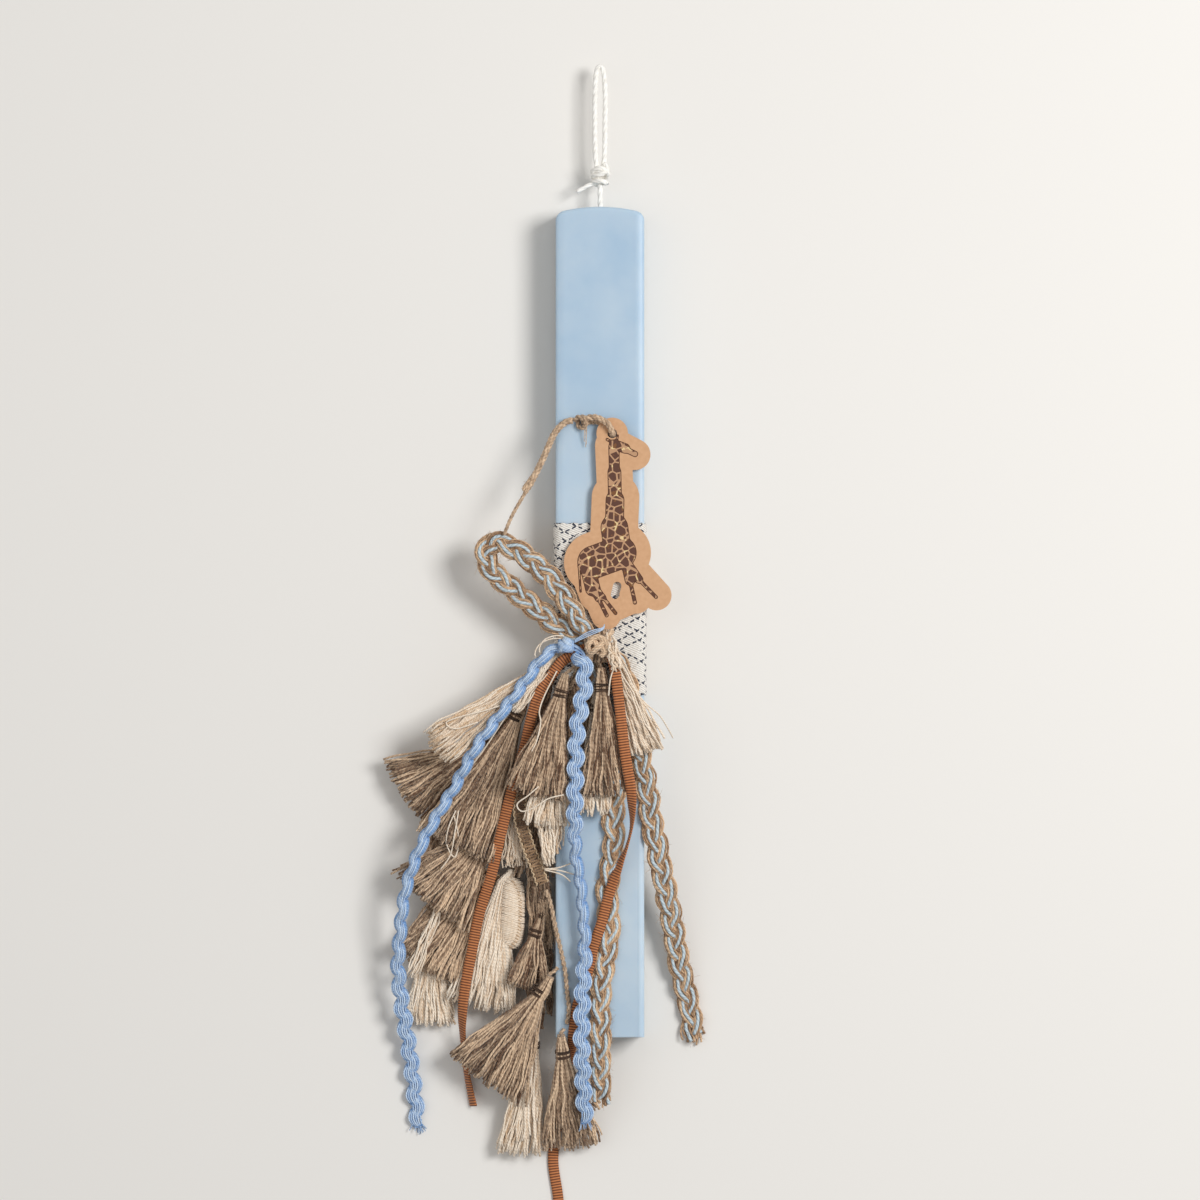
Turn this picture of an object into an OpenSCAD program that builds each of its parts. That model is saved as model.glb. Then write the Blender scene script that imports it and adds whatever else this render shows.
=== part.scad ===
// Easter candle: a flat wax candle dressed with a woven wrap, a bunch of tassels, braids,
// rickrack and ribbons, and a die-cut card tag on a twine. It lies on its back.
// X runs across the candle, +Y runs up to the wick, +Z points out of its front.

/* [Candle] */
// Length of the wax body
candle_l = 300; // [290:1:310]
// Width of the wax body
candle_w = 32; // [30:0.5:34]
// Thickness of the wax body
candle_t = 16; // [15:0.25:17]
// Radius along the four long edges
edge_r = 3; // [1.5:0.5:5]
// Rise of the arched top above its corners
arch_rise = 3.5; // [2:0.5:5]
// Radius of the two corners at the foot
foot_r = 2.5; // [1:0.5:4]

/* [Wick] */
// Thickness of the wick
wick_d = 1.8; // [1.4:0.1:2.2]
// Bare stem between the wax and the knot
stem_l = 7.5; // [4:0.5:12]
// Width of the knot
knot_d = 6.6; // [5.5:0.1:8]
// Length of the knot along the wick
knot_l = 8.5; // [7:0.5:10]
// Length of the hanging loop above the knot
loop_l = 35; // [25:1:50]
// Distance between the two strands of the loop
loop_gap = 3.4; // [2.8:0.1:5]

/* [Wrap] */
// Length of the woven band along the candle
wrap_l = 62; // [50:1:70]
// Thickness of the woven band
wrap_t = 0.8; // [0.5:0.1:1.2]
// Upper edge of the band, measured from the middle of the candle
wrap_top = 35.7; // [30:0.1:40]

/* [Tag] */
// Thickness of the card
tag_t = 1.2; // [0.8:0.1:1.6]
// Margin of card left round the figure
tag_margin = 4; // [3:0.25:4.5]
// Hole for the twine
tag_hole_d = 3.4; // [3:0.1:4]
// Thickness of the twine where it passes the hole
twine_d = 1.8; // [1.4:0.1:2.2]
// Clearance between twine and card, and between loop and knot
twine_clear = 0.3; // [0.2:0.05:0.5]

/* [Bunch] */
// Thickness of the jute tie that gathers the bunch
tie_d = 8; // [7:0.25:9]
// Height of the gathered bunch above the wrap
tie_h = 11; // [10.5:0.25:13]

/* [Tassels] */
// Thickness of a tassel that lies beside the candle
tassel_t = 3.6; // [3:0.1:3.8]
// Thickness of a tassel that lies on the candle
front_tassel_t = 2.6; // [2:0.1:2.8]
// Clear space between tassels that lie over each other
layer_gap = 0.4; // [0.3:0.05:0.5]
// Width of a tassel at its bound neck
neck_w = 5; // [4:0.1:5.5]
// Length of the thread binding
binding_l = 3; // [2:0.1:4]
// Depth of the thread binding
binding_t = 0.5; // [0.3:0.05:0.7]
// Diameter of the stitch that a tassel hangs on
stitch_d = 1.4; // [1:0.1:1.6]
// Clearance round the stitch inside the head loop
stitch_clear = 0.3; // [0.2:0.05:0.4]
// Thread wall of the head loop
eye_wall = 0.9; // [0.6:0.05:1.1]
// Width of a hanger thread
hanger_w = 2.2; // [1.6:0.1:2.6]
// Thickness of a hanger thread
hanger_t = 0.8; // [0.6:0.05:0.9]

/* [Trims] */
// Width of the braid
braid_w = 7; // [6:0.25:8]
// Thickness of the braid
braid_t = 2.6; // [2:0.1:2.8]
// Width of the rickrack band
rick_w = 4.4; // [3.5:0.1:5]
// Thickness of the rickrack band
rick_t = 1.4; // [1:0.1:1.6]
// Length of one wave of the rickrack
rick_wave = 8; // [7:0.5:10]
// Swing of the rickrack to either side
rick_swing = 1.8; // [1:0.1:2]
// Width of the grosgrain ribbon
ribbon_w = 3.4; // [2.5:0.1:4]
// Thickness of the grosgrain ribbon
ribbon_t = 0.5; // [0.4:0.05:0.6]
// Width of the trim tape
tape_w = 5; // [4:0.25:5.5]
// Thickness of the trim tape
tape_t = 1; // [0.7:0.05:1.1]
// Thickness of the twisted jute cord
cord_d = 1.6; // [1.2:0.1:1.8]

/* [Hidden] */
$fn = 48;

// A sliver of air between pieces that rest on each other
rest_gap = 0.2;
// Room for the cast wick in the flat-sided bore that the wax keeps round it
wick_room = 0.06;
// Room between a stitch's foot and the tape it is sewn to, so that the tape's bends clear it
stitch_lift = 0.28;
wax_colour = "#a8c6dc";
wick_colour = "#ece6da";
jute_colour = "#8f775b";
cream_colour = "#e3d6c0";
blue_colour = "#7fb0e0";
brown_colour = "#8a4a28";
braid_colour = "#b59a7c";
thread_colour = "#4a3526";

// Heights: the surface is at 0, the wrap lies on it, and the wax lies inside the wrap
back_z = wrap_t;
axis_z = back_z + candle_t / 2;
front_z = back_z + candle_t;
wrap_z = front_z + wrap_t;
// Side of the candle that the pile of tassels lies against
side_x = -candle_w / 2;
foot_y = -candle_l / 2;
top_y = candle_l / 2;

// Layers of tassels beside the candle, counted up from the surface
function side_layer(k) = tape_t + 2 * layer_gap + (k - 1) * (tassel_t + layer_gap);
// Layers of tassels on the candle: above the braid tails, with their hangers below them
braid_top = wrap_z + rest_gap + braid_t;
front_layer_1 = braid_top + 2 * rest_gap + hanger_t;
front_layer_2 = front_layer_1 + front_tassel_t + 2 * rest_gap + hanger_t;
front_top = front_layer_2 + front_tassel_t;
// The first cream tassel lies on the edge of the wrap
wrap_layer = wrap_z + 2 * rest_gap + hanger_t + layer_gap;

// Bunch tie: middle of the gathered trims
tie_x = -0.8;
tie_y = -8;

// Tassels: place of the head loop, direction from straight down, fall, length, half width at the tip,
// thickness, and the point that its hanger starts from (none where a stitch holds it on a tape)
PLACE = 0;
HEADING = 1;
FALL = 2;
LENGTH = 3;
TIP = 4;
THICK = 5;
HANGER = 6;
side_t = tassel_t;
front_t = front_tassel_t;
TASSELS = [
    [[side_x + 0.5, -13.5, wrap_layer], -54, 0, 56, 6.5, side_t - 0.4, [-6.1, -8.5]],
    [[side_x - 23.5, -42, side_layer(2)], -56.5, 0, 39, 11, side_t, []],
    [[side_x - 11.6, -28.5, side_layer(4)], -26, 0, 60, 10, side_t, []],
    [[side_x + 3.4, -19.4, front_layer_2], -14, 0, 45, 8.5, front_t, [-4.5, -11.7]],
    [[0.5, -17.2, front_layer_2], 2.5, 0, 46, 7, front_t, [-0.5, -13.2]],
    [[4.8, -14, front_layer_1], 22, 0, 36, 5.8, front_t, [2.8, -11.8]],
    [[-0.8, -24.5, front_layer_1], -2.5, 0, 46, 4.5, front_t, [-0.8, -13.3]],
    [[side_x + 2, -29, front_layer_1], -4.5, 0, 46, 5, front_t, [-3.8, -12.4]],
    [[side_x - 19, -70, side_layer(3)], -41, 0, 43, 9, side_t, []],
    [[side_x - 25, -91, side_layer(2)], -31.5, 0, 42.5, 8, side_t, []],
    [[side_x - 45.3, -106.7, side_layer(1)], -1, 0, 40.5, 6.5, side_t, []],
    [[side_x - 14, -91, side_layer(2)], -13.5, 0, 52, 10, side_t, []],
    [[side_x - 5.4, -106.5, side_layer(3)], -17, 0, 27.5, 4.5, side_t, []],
    [[side_x - 2.6, foot_y + 22.2, front_z + 1.6], -36, 12, 46.5, 10.5, side_t,
        [side_x + 0.8, foot_y + 25.2]],
    [[side_x - 8, foot_y + 3.5, side_layer(3) - 1.2], -4, 7, 48, 4.5, side_t, []],
    [[side_x + 2, foot_y + 0.8, front_z + 1.9], 5, 21, 45, 8, side_t, [side_x + 3, foot_y + 3.2]]];
ROLLED = 11;
rolled_w = 8.6;
rolled_l = 22;

eye_r = stitch_d / 2 + stitch_clear + eye_wall;
head_l = 2 * eye_r + 1;
function tassel_neck_w(i) = i == ROLLED ? rolled_w : neck_w;
function tassel_binding_l(i) = i == ROLLED ? rolled_l : binding_l;

// Swept bands and cords

function unit(v) = v / norm(v);
function ahead(p, i) = unit(p[min(i + 1, len(p) - 1)] - p[max(i - 1, 0)]);
function xyz(p) = [p[0], p[1], p[2]];
// A smooth line through hand-chosen points, with steps pieces between each pair
function between(a, b, c, d, u) = 0.5 * ((2 * b) + (c - a) * u
    + (2 * a - 5 * b + 4 * c - d) * u * u + (3 * b - a - 3 * c + d) * u * u * u);
function smooth(p, steps) = let (last = len(p) - 1) concat(
    [for (i = [0 : last - 1]) for (j = [0 : steps - 1])
        between(p[max(i - 1, 0)], p[i], p[i + 1], p[min(i + 2, last)], j / steps)],
    [p[last]]);
// Across the band: level, and square to the way it runs
function across(t) = unit(cross([0, 0, 1], t));
function ring(c, t, w, h, sides, roll = 0) =
    let (a = across(t), n = cross(t, a),
        s = a * cos(roll) + n * sin(roll), u = n * cos(roll) - a * sin(roll))
    [for (k = [0 : sides - 1]) let (q = 360 * (k + 0.5) / sides)
        c + s * w / 2 * cos(q) / cos(180 / sides) + u * h / 2 * sin(q) / cos(180 / sides)];
function flat(list) = [for (part = list) for (item = part) item];

// Closed skin over a row of rings
module skin(rings) {
    n = len(rings[0]);
    last = len(rings) - 1;
    sides = flat([for (i = [0 : last - 1]) for (k = [0 : n - 1])
        let (a = i * n + k, b = i * n + (k + 1) % n)
        [[a, a + n, b], [b, a + n, b + n]]]);
    start = [for (k = [1 : n - 2]) [0, k, k + 1]];
    end = [for (k = [1 : n - 2]) [last * n, last * n + k + 1, last * n + k]];
    polyhedron(flat(rings), concat(start, sides, end));
}

// Band or cord along a route; the fourth number of a point, where it has one, narrows the band there
module band(route, w, h, sides = 8, steps = 2) {
    p = smooth(route, steps);
    line = [for (q = p) xyz(q)];
    skin([for (i = [0 : len(p) - 1])
        ring(line[i], ahead(line, i), w * (len(p[i]) > 3 ? p[i][3] : 1), h, sides)]);
}

// Rickrack: a band that swings from side to side; the fourth number of a point turns it on edge
module rickrack(route, steps) {
    p = smooth(route, steps);
    line = [for (q = p) xyz(q)];
    run = [for (i = 0, s = 0; i < len(p); s = i + 1 < len(p) ? s + norm(line[i + 1] - line[i]) : s, i = i + 1) s];
    skin([for (i = [0 : len(p) - 1])
        let (t = ahead(line, i),
            c = line[i] + across(t) * rick_swing * cos(p[i][3]) * sin(360 * run[i] / rick_wave))
        ring(c, t, rick_w, rick_t, 6, p[i][3])]);
}

// Routes: points chosen by hand, from the tie outwards

lies_on_front = front_z + rest_gap;
braid_mid = lies_on_front + braid_t / 2;
braid_on_wrap = wrap_z + rest_gap + braid_t / 2;
LOOP_ROUTE = [
    [-4, -4.2, wrap_z + 6.2, 0.55], [-7.5, 0, wrap_z + 5.8, 0.8], [-13, 9, wrap_z + 5], [-19, 17, wrap_z + 4.4],
    [-25.5, 22.5, wrap_z + 3.6], [-32, 27, wrap_z + 2.6], [-37.5, 29, wrap_z + 1.6], [-41.5, 25, wrap_z + 0.8],
    [-39, 18.5, wrap_z + 0.4], [-31.5, 12, wrap_z + 0.6], [-24, 5.5, wrap_z + 1.2], [-17, 0, wrap_z + 2],
    [-10.5, -4.4, wrap_z + 2.8, 0.8], [-5.6, -6.6, wrap_z + 3, 0.45]];
CENTRE_ROUTE = [
    [-1.2, -12.4, braid_on_wrap, 0.5], [-0.6, -22, braid_on_wrap, 0.8], [1, -36, braid_on_wrap], [4, -50, braid_mid + 0.4],
    [5.4, -62, braid_mid], [4.7, -70, braid_mid], [5.2, -79, braid_mid], [4.4, -86, braid_mid],
    [2.6, -97, braid_mid], [3.6, -111, braid_mid], [2.2, -119, braid_mid], [0.6, -130, braid_mid],
    [0, -141, braid_mid], [0, -151, braid_mid], [0, -160, braid_mid - 2.2], [0.4, -176, braid_mid - 8]];
RIGHT_ROUTE = [
    [3.5, -10, braid_on_wrap, 0.45], [8, -17, braid_on_wrap, 0.8], [11.5, -30, braid_on_wrap], [14.4, -48, braid_mid],
    [16.8, -60, braid_mid], [18.4, -71, braid_mid], [20.4, -80, braid_mid - 0.6], [22, -89, braid_mid - 2.4],
    [24, -98, braid_mid - 5], [25.8, -107, braid_mid - 8], [27.6, -118, 7.4], [29.4, -127, 4.8],
    [31.6, -136, 2.8], [33.4, -145, 2], [34.4, -153, 1.8]];
RICK_LEFT_ROUTE = [
    [-15.2, -9.6, front_z + 9, 45], [-20.5, -13, front_z + 8.4, 50], [-29, -24.5, front_z + 7.9, 50],
    [-36, -33.6, front_z + 7.9, 50], [-45, -46, front_z + 7.6, 50], [-52, -59, front_z + 3.6, 50],
    [-59.6, -71.5, front_z + 3, 50], [-65, -82, front_z + 3, 45], [-69, -93, 17.6, 45], [-71, -102, 16.5, 40],
    [-72.4, -115, 13.5, 30], [-73, -126, 11.6, 20], [-71.6, -140, 8.4, 0], [-69.4, -154, 5, 0],
    [-68, -165, 2.8, 0], [-67, -175, 1.6, 0], [-66, -183, 1.2, 0]];
RICK_CENTRE_ROUTE = [
    [-9, -12, front_z + 11.4, 30], [-6, -14.6, front_top + 2.4, 0], [-5.6, -22.7, front_top + 1.3, 0],
    [-7, -31, front_top + 1.2, 0], [-8.3, -40, front_top + 1.2, 0], [-8.7, -52, front_top + 1.2, 0],
    [-9, -64, front_top + 0.8, 0], [-9, -74, front_z + 8.8, 10], [-8.6, -84, front_z + 6.6, 50],
    [-7, -93, front_z + 6, 55], [-6, -104, front_z + 5.6, 55], [-5.4, -113, front_z + 5.6, 45],
    [-5.6, -122, front_z + 5.4, 15], [-6.2, -132, front_z + 5.4, 0], [-6.5, -143, front_z + 5.4, 0],
    [-6.5, -155, front_z + 4.8, 0], [-6.2, -163, front_z + 2, 0], [-5.6, -175.5, front_z - 2.4, 0],
    [-5, -183, front_z - 5, 0]];
RIBBON_LEFT_ROUTE = [
    [-5.2, -9.6, wrap_z + 5.5], [-9.5, -11.6, wrap_z + 5.7], [-14, -14.5, wrap_z + 6], [-18, -20, wrap_z + 5.7],
    [-22, -26, wrap_z + 5.5], [-25, -35.4, wrap_z + 4.6], [-27.4, -46, wrap_z + 2.6], [-32, -61.5, wrap_z + 1.2],
    [-36, -77.5, wrap_z], [-39, -90.5, 15.6], [-43.7, -106, 12.4], [-46.6, -120.5, 10.8],
    [-48.8, -132, 10.6], [-49.8, -141, 10.4], [-49.8, -150, 6.6], [-48.4, -164, 2.4], [-46, -176, 1.4]];
RIBBON_RIGHT_ROUTE = [
    [3.6, -10.6, front_top - 0.6], [5.4, -17.3, front_top + 0.7], [7.2, -31.4, front_top + 0.6],
    [8.4, -42.6, front_top + 0.6], [9.8, -52, front_top + 0.6], [11.2, -61, front_top + 0.4],
    [11.4, -72.6, front_z + 7], [9.6, -81, front_z + 4.6], [7.2, -87, front_z + 3.8], [3.6, -97, front_z + 3.5],
    [0.4, -109, front_z + 3.5], [-2.2, -116.6, front_z + 3.5], [-4.4, -126, front_z + 3], [-8, -138, front_z + 1],
    [-9.4, -147, front_z + 0.6], [-9.8, -150.6, front_z + 0.5], [-10.4, -153.6, 14.8], [-11.2, -158, 11], [-12.5, -165, 6.8],
    [-14.6, -177, 2.2], [-16.4, -188, 0.8], [-17, -197, 0.6], [-15.4, -208, 0.6], [-14.6, -216, 0.6]];
TAPE_FRONT_ROUTE = [
    [-4.2, -11, wrap_z + 0.8, 0.45], [-9, -22, wrap_z + 0.8, 0.8], [-14, -36, wrap_z + 0.6], [-20.5, -47, front_z + 1.2],
    [-26.5, -58, front_z + 1.2], [-29, -68, front_z + 1], [-26.5, -79, front_z + 1], [-22.6, -89, front_z + 1],
    [-20.8, -94.5, front_z + 1]];
tape_drop = layer_gap + tape_t / 2;
TAPE_BACK_ROUTE = [
    [-5.4, -5, wrap_z + 0.8, 0.5], [-13, -8, wrap_z + 0.8, 0.7], [-20.5, -13, wrap_z - 0.4],
    [side_x - 8, -21, 15.4], [side_x - 11.6, -27, side_layer(4) - tape_drop],
    [side_x - 12.4, -30, side_layer(4) - tape_drop], [side_x - 16, -35, 8],
    [side_x - 20, -38.6, side_layer(2) - tape_drop], [side_x - 23.5, -42, side_layer(2) - tape_drop],
    [side_x - 24, -49, side_layer(2) - tape_drop], [side_x - 22, -58, 6.2],
    [side_x - 20, -66, side_layer(3) - tape_drop], [side_x - 19, -71, side_layer(3) - tape_drop],
    [side_x - 16.4, -79, 7], [side_x - 14.4, -86, side_layer(2) - tape_drop],
    [side_x - 15.4, -91.6, side_layer(2) - tape_drop], [side_x - 20, -94, side_layer(2) - tape_drop],
    [side_x - 25, -91, side_layer(2) - tape_drop], [side_x - 30, -92.6, side_layer(2) - tape_drop - 0.4],
    [side_x - 37, -99, 2.2], [side_x - 42.5, -104, side_layer(1) - tape_drop],
    [side_x - 46.4, -107.6, side_layer(1) - tape_drop]];
lower_d = 2;
lower_drop = layer_gap + lower_d / 2;
CORD_LOWER_ROUTE = [
    [side_x - 5.6, -92, front_z - 0.8], [side_x - 5.5, -98, 12.6], [side_x - 5.4, -103, side_layer(3) - lower_drop],
    [side_x - 5.4, -107.5, side_layer(3) - lower_drop], [side_x - 6.2, -121, 7.4],
    [side_x - 7.4, foot_y + 12, side_layer(3) - 1.2 - lower_drop],
    [side_x - 8, foot_y + 2.6, side_layer(3) - 1.2 - lower_drop]];
CORD_TWISTED_ROUTE = [
    [-19.6, -96.8, front_z + 1.3], [-18, -101, front_z + 1.2], [-16, -110.5, front_z + 1.1], [-14, -119, front_z + 1.1],
    [-12.6, -126, front_z + 1.1], [-11.9, -133, front_z + 1.1], [-11.2, -140, front_z + 1.1], [-12, -145, front_z + 1.1]];

// Candle and wick

module rounded(w, h, r) {
    square([w - 2 * r, h], center = true);
    square([w, h - 2 * r], center = true);
    for (sx = [-1, 1], sy = [-1, 1]) translate([sx * (w / 2 - r), sy * (h / 2 - r)]) circle(r);
}

// Bar along Y with a rounded section, from one end to the other
module bar(w, t, r, from, to) {
    translate([0, to, axis_z]) rotate([90, 0, 0]) linear_extrude(to - from) rounded(w, t, r);
}

// Front view of the wax: arched top, rounded corners at the foot
module candle_front() {
    arch_r = (candle_w * candle_w / 4 + arch_rise * arch_rise) / (2 * arch_rise);
    hull() {
        intersection() {
            translate([0, top_y - arch_r]) circle(arch_r, $fn = 180);
            translate([-candle_w / 2, top_y - arch_r]) square([candle_w, arch_r]);
        }
        for (sx = [-1, 1]) translate([sx * (candle_w / 2 - foot_r), foot_y + foot_r]) circle(foot_r);
    }
}

module candle_body() {
    color(wax_colour) difference() {
        intersection() {
            bar(candle_w, candle_t, edge_r, foot_y, top_y);
            linear_extrude(front_z + 1) candle_front();
        }
        translate([0, top_y + 1, axis_z]) rotate([90, 0, 0]) cylinder(d = wick_d + wick_room, h = candle_l + 2);
    }
}

knot_y = top_y + stem_l;

module wick_core() {
    color(wick_colour) translate([0, knot_y, axis_z]) rotate([90, 0, 0])
        cylinder(d = wick_d, h = candle_l + stem_l);
}

// Two rounded lobes, cut flat where the stem and the loop meet them
module knot_shape() {
    intersection() {
        union() for (s = [-1, 1]) translate([0, knot_y + knot_l / 2 + s * (knot_l - knot_d) / 2 * 1.4, axis_z])
            sphere(d = knot_d);
        translate([-knot_d, knot_y, axis_z - knot_d]) cube([2 * knot_d, knot_l, 2 * knot_d]);
    }
}

module wick_knot() {
    color(wick_colour) knot_shape();
}

module wick_loop() {
    y0 = knot_y + knot_l;
    bend = loop_gap / 2;
    side = loop_l - bend - wick_d / 2;
    half = [[bend, 0], [bend, side * 0.3], [bend + 0.1, side * 0.6], [bend, side],
        [bend * 0.7, side + bend * 0.75], [0, side + bend]];
    route = concat([for (q = half) [-q[0], y0 + q[1], axis_z]],
        [for (k = [len(half) - 2 : -1 : 0]) [half[k][0], y0 + half[k][1], axis_z]]);
    color(wick_colour) band(route, wick_d, wick_d);
}

module wick_tail() {
    color(wick_colour) difference() {
        translate([0, knot_y + 1.8, axis_z]) rotate([0, 0, 24]) rotate([0, -90, 0]) cylinder(d = 1.5, h = 9);
        knot_shape();
    }
}

module wrap_tape() {
    color("#e6e1d6") difference() {
        bar(candle_w + 2 * wrap_t, candle_t + 2 * wrap_t, edge_r + wrap_t, wrap_top - wrap_l, wrap_top);
        bar(candle_w, candle_t, edge_r, wrap_top - wrap_l - 1, wrap_top + 1);
    }
}

// Tag

hole_x = 4.4;
hole_y = 68;
twine_y = 72.6;
twine_x = -7;
loop_wall = 0.8;
loop_w = 3;
loop_r = twine_d / 2 + twine_clear + loop_wall;
twine_z = lies_on_front + loop_r;
tag_z = twine_z - tag_t / 2;

// Straight stroke of even width with round ends
module stroke(a, b, r) {
    v = b - a;
    translate(a) circle(r);
    translate(b) circle(r);
    translate(a) rotate(atan2(v[1], v[0])) translate([0, -r]) square([norm(v), 2 * r]);
}

// Long-necked animal, drawn as strokes: start, end, half width of the figure there
FIGURE = [
    [[4.6, 64.6], [12.6, 60.4], 1.6], [[4.8, 63.6], [5.6, 45], 2.6], [[5.6, 45], [5, 30], 4.6],
    [[-2, 21.4], [7.4, 25], 7], [[-3.6, 17], [-1, 10], 2.6], [[-1, 10], [2.2, 2.6], 1.4],
    [[10.4, 20], [13, 8.6], 1.6], [[11, 20], [20.4, 9.6], 1.4]];

// The same stroke for the card, whose strokes run into one outline
module limb(a, b, r) {
    hull() {
        translate(a) circle(r);
        translate(b) circle(r);
    }
}

module tag_card() {
    color("#c39a74") translate([0, 0, tag_z]) linear_extrude(tag_t) difference() {
        union() {
            for (f = FIGURE) limb(f[0], f[1], f[2] + tag_margin);
            translate([hole_x, hole_y]) circle(tag_hole_d / 2 + tag_margin);
            limb([2.2, 1.8 + tag_margin / 4], [13, 7.6], tag_margin);
        }
        translate([hole_x, hole_y]) circle(d = tag_hole_d);
        limb([5.4, 9.8], [6.2, 13], 1.5);
    }
}

// Twine through the hole and round its own lead, which it turns on
module tag_twine_loop() {
    gap = twine_clear;
    color(jute_colour) difference() {
        union() {
            translate([hole_x, hole_y, tag_z - gap - loop_wall]) cylinder(d = twine_d, h = tag_t + 2 * (gap + loop_wall));
            for (z = [tag_z - gap - loop_wall, tag_z + tag_t + gap])
                translate([0, 0, z]) linear_extrude(loop_wall) stroke([twine_x, twine_y], [hole_x, hole_y], twine_d / 2);
            translate([twine_x - loop_w / 2, twine_y, twine_z]) rotate([0, 90, 0]) cylinder(r = loop_r, h = loop_w);
        }
        translate([twine_x - loop_w, twine_y, twine_z]) rotate([0, 90, 0])
            cylinder(d = twine_d + 2 * twine_clear, h = 2 * loop_w);
    }
}

lead_x = twine_x - loop_w;

module tag_twine_knot() {
    color(jute_colour) translate([lead_x, twine_y, twine_z]) rotate([0, 90, 0]) cylinder(d = twine_d, h = 2 * loop_w - 1);
}

LEAD_ROUTE = [
    [lead_x - 0.1, twine_y, twine_z], [-12.5, 72, twine_z], [-16.4, 68, twine_z], [-20.5, 59, twine_z + 0.4],
    [-25, 50, twine_z + 1], [-31.5, 38.6, wrap_z + 4.8], [-34.5, 31.5, wrap_z + 4.6]];

module tag_twine_lead() {
    color(jute_colour) band([for (p = LEAD_ROUTE) [p[0], p[1], p[2], 1]], twine_d, twine_d);
}

// Bunch tie and bands

module bunch_tie() {
    crown = 1.5;
    color(jute_colour) translate([tie_x, tie_y, wrap_z]) rotate_extrude() {
        square([tie_d / 2, tie_h - crown]);
        square([tie_d / 2 - crown, tie_h]);
        translate([tie_d / 2 - crown, tie_h - crown]) intersection() {
            circle(crown);
            square(crown);
        }
    }
}

module braid_loop() {
    color(braid_colour) band([for (p = LOOP_ROUTE) len(p) > 3 ? p : concat(p, 1)], braid_w, braid_t, 10, 2);
}

module braid_tail_centre() {
    color(braid_colour) band([for (p = CENTRE_ROUTE) len(p) > 3 ? p : concat(p, 1)], braid_w, braid_t, 10, 1);
}

module braid_tail_right() {
    color(braid_colour) band([for (p = RIGHT_ROUTE) len(p) > 3 ? p : concat(p, 1)], braid_w, braid_t, 10, 1);
}

rick_knot_d = 5.6;
RICK_KNOT = [-12.2, -8.6, front_z + 9.6];

module rickrack_knot() {
    color(blue_colour) difference() {
        union() {
            translate(RICK_KNOT) sphere(d = rick_knot_d);
            translate(RICK_KNOT) rotate([0, 90, 0]) cylinder(d = 2.2, h = tie_x - RICK_KNOT[0]);
        }
        translate([tie_x, tie_y, wrap_z]) cylinder(d = tie_d + 2 * rest_gap, h = tie_h + 2);
    }
}

module rickrack_left() {
    color(blue_colour) rickrack(RICK_LEFT_ROUTE, 12);
}

module rickrack_centre() {
    color(blue_colour) rickrack(RICK_CENTRE_ROUTE, 9);
}

module ribbon_left() {
    color(brown_colour) band(RIBBON_LEFT_ROUTE, ribbon_w, ribbon_t, 4, 2);
}

module ribbon_right() {
    color(brown_colour) band(RIBBON_RIGHT_ROUTE, ribbon_w, ribbon_t, 4, 2);
}

module trim_tape_front() {
    color(jute_colour) band([for (p = TAPE_FRONT_ROUTE) len(p) > 3 ? p : concat(p, 1)], tape_w, tape_t, 4, 2);
}

module trim_tape_back() {
    color(jute_colour) band([for (p = TAPE_BACK_ROUTE) len(p) > 3 ? p : concat(p, 1)], tape_w * 0.7, tape_t, 4, 2);
}

module trim_cord_lower() {
    color(jute_colour) band(CORD_LOWER_ROUTE, lower_d, lower_d);
}

module trim_cord_twisted() {
    color(jute_colour) band(CORD_TWISTED_ROUTE, cord_d, cord_d);
}

// Tassels

module at_tassel(i) {
    t = TASSELS[i];
    translate(t[PLACE]) rotate([0, 0, t[HEADING]]) rotate([t[FALL], 0, 0]) children();
}

// Outline seen from above: head loop, head, bound neck, and a fan with cut ends
module tassel_outline(i) {
    t = TASSELS[i];
    w = tassel_neck_w(i);
    from = head_l + tassel_binding_l(i);
    teeth = 6;
    ends = [for (k = [0 : teeth]) let (q = 2 * k / teeth - 1)
        [q * t[TIP], -t[LENGTH] + 3 * q * q + (k % 2 == 0 ? 2 : 0)]];
    circle(eye_r);
    translate([-w / 2, -from]) square([w, from - eye_r / 2]);
    polygon(concat([[-w / 2, -from]], ends, [[w / 2, -from]]));
}

module tassel_skirt(i, colour) {
    t = TASSELS[i];
    w = tassel_neck_w(i);
    l = tassel_binding_l(i);
    color(colour) at_tassel(i) difference() {
        linear_extrude(t[THICK]) tassel_outline(i);
        translate([0, 0, -1]) cylinder(d = stitch_d + 2 * stitch_clear, h = t[THICK] + 2);
        neck_ring(w + 2, t[THICK] + 2, i);
    }
}

// Square ring round the neck, from outside size in to the depth of the thread
module neck_ring(w, h, i) {
    t = TASSELS[i];
    l = tassel_binding_l(i);
    difference() {
        translate([-w / 2, -head_l - l, t[THICK] / 2 - h / 2]) cube([w, l, h]);
        translate([-tassel_neck_w(i) / 2 + binding_t, -head_l - l - 1, binding_t])
            cube([tassel_neck_w(i) - 2 * binding_t, l + 2, t[THICK] - 2 * binding_t]);
    }
}

module tassel_binding(i, colour) {
    color(colour) at_tassel(i) neck_ring(tassel_neck_w(i), TASSELS[i][THICK], i);
}

// Stitch through a head loop, from below it to its top
module stitch(i, below) {
    at_tassel(i) translate([0, 0, -below]) cylinder(d = stitch_d, h = below + TASSELS[i][THICK]);
}

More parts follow.
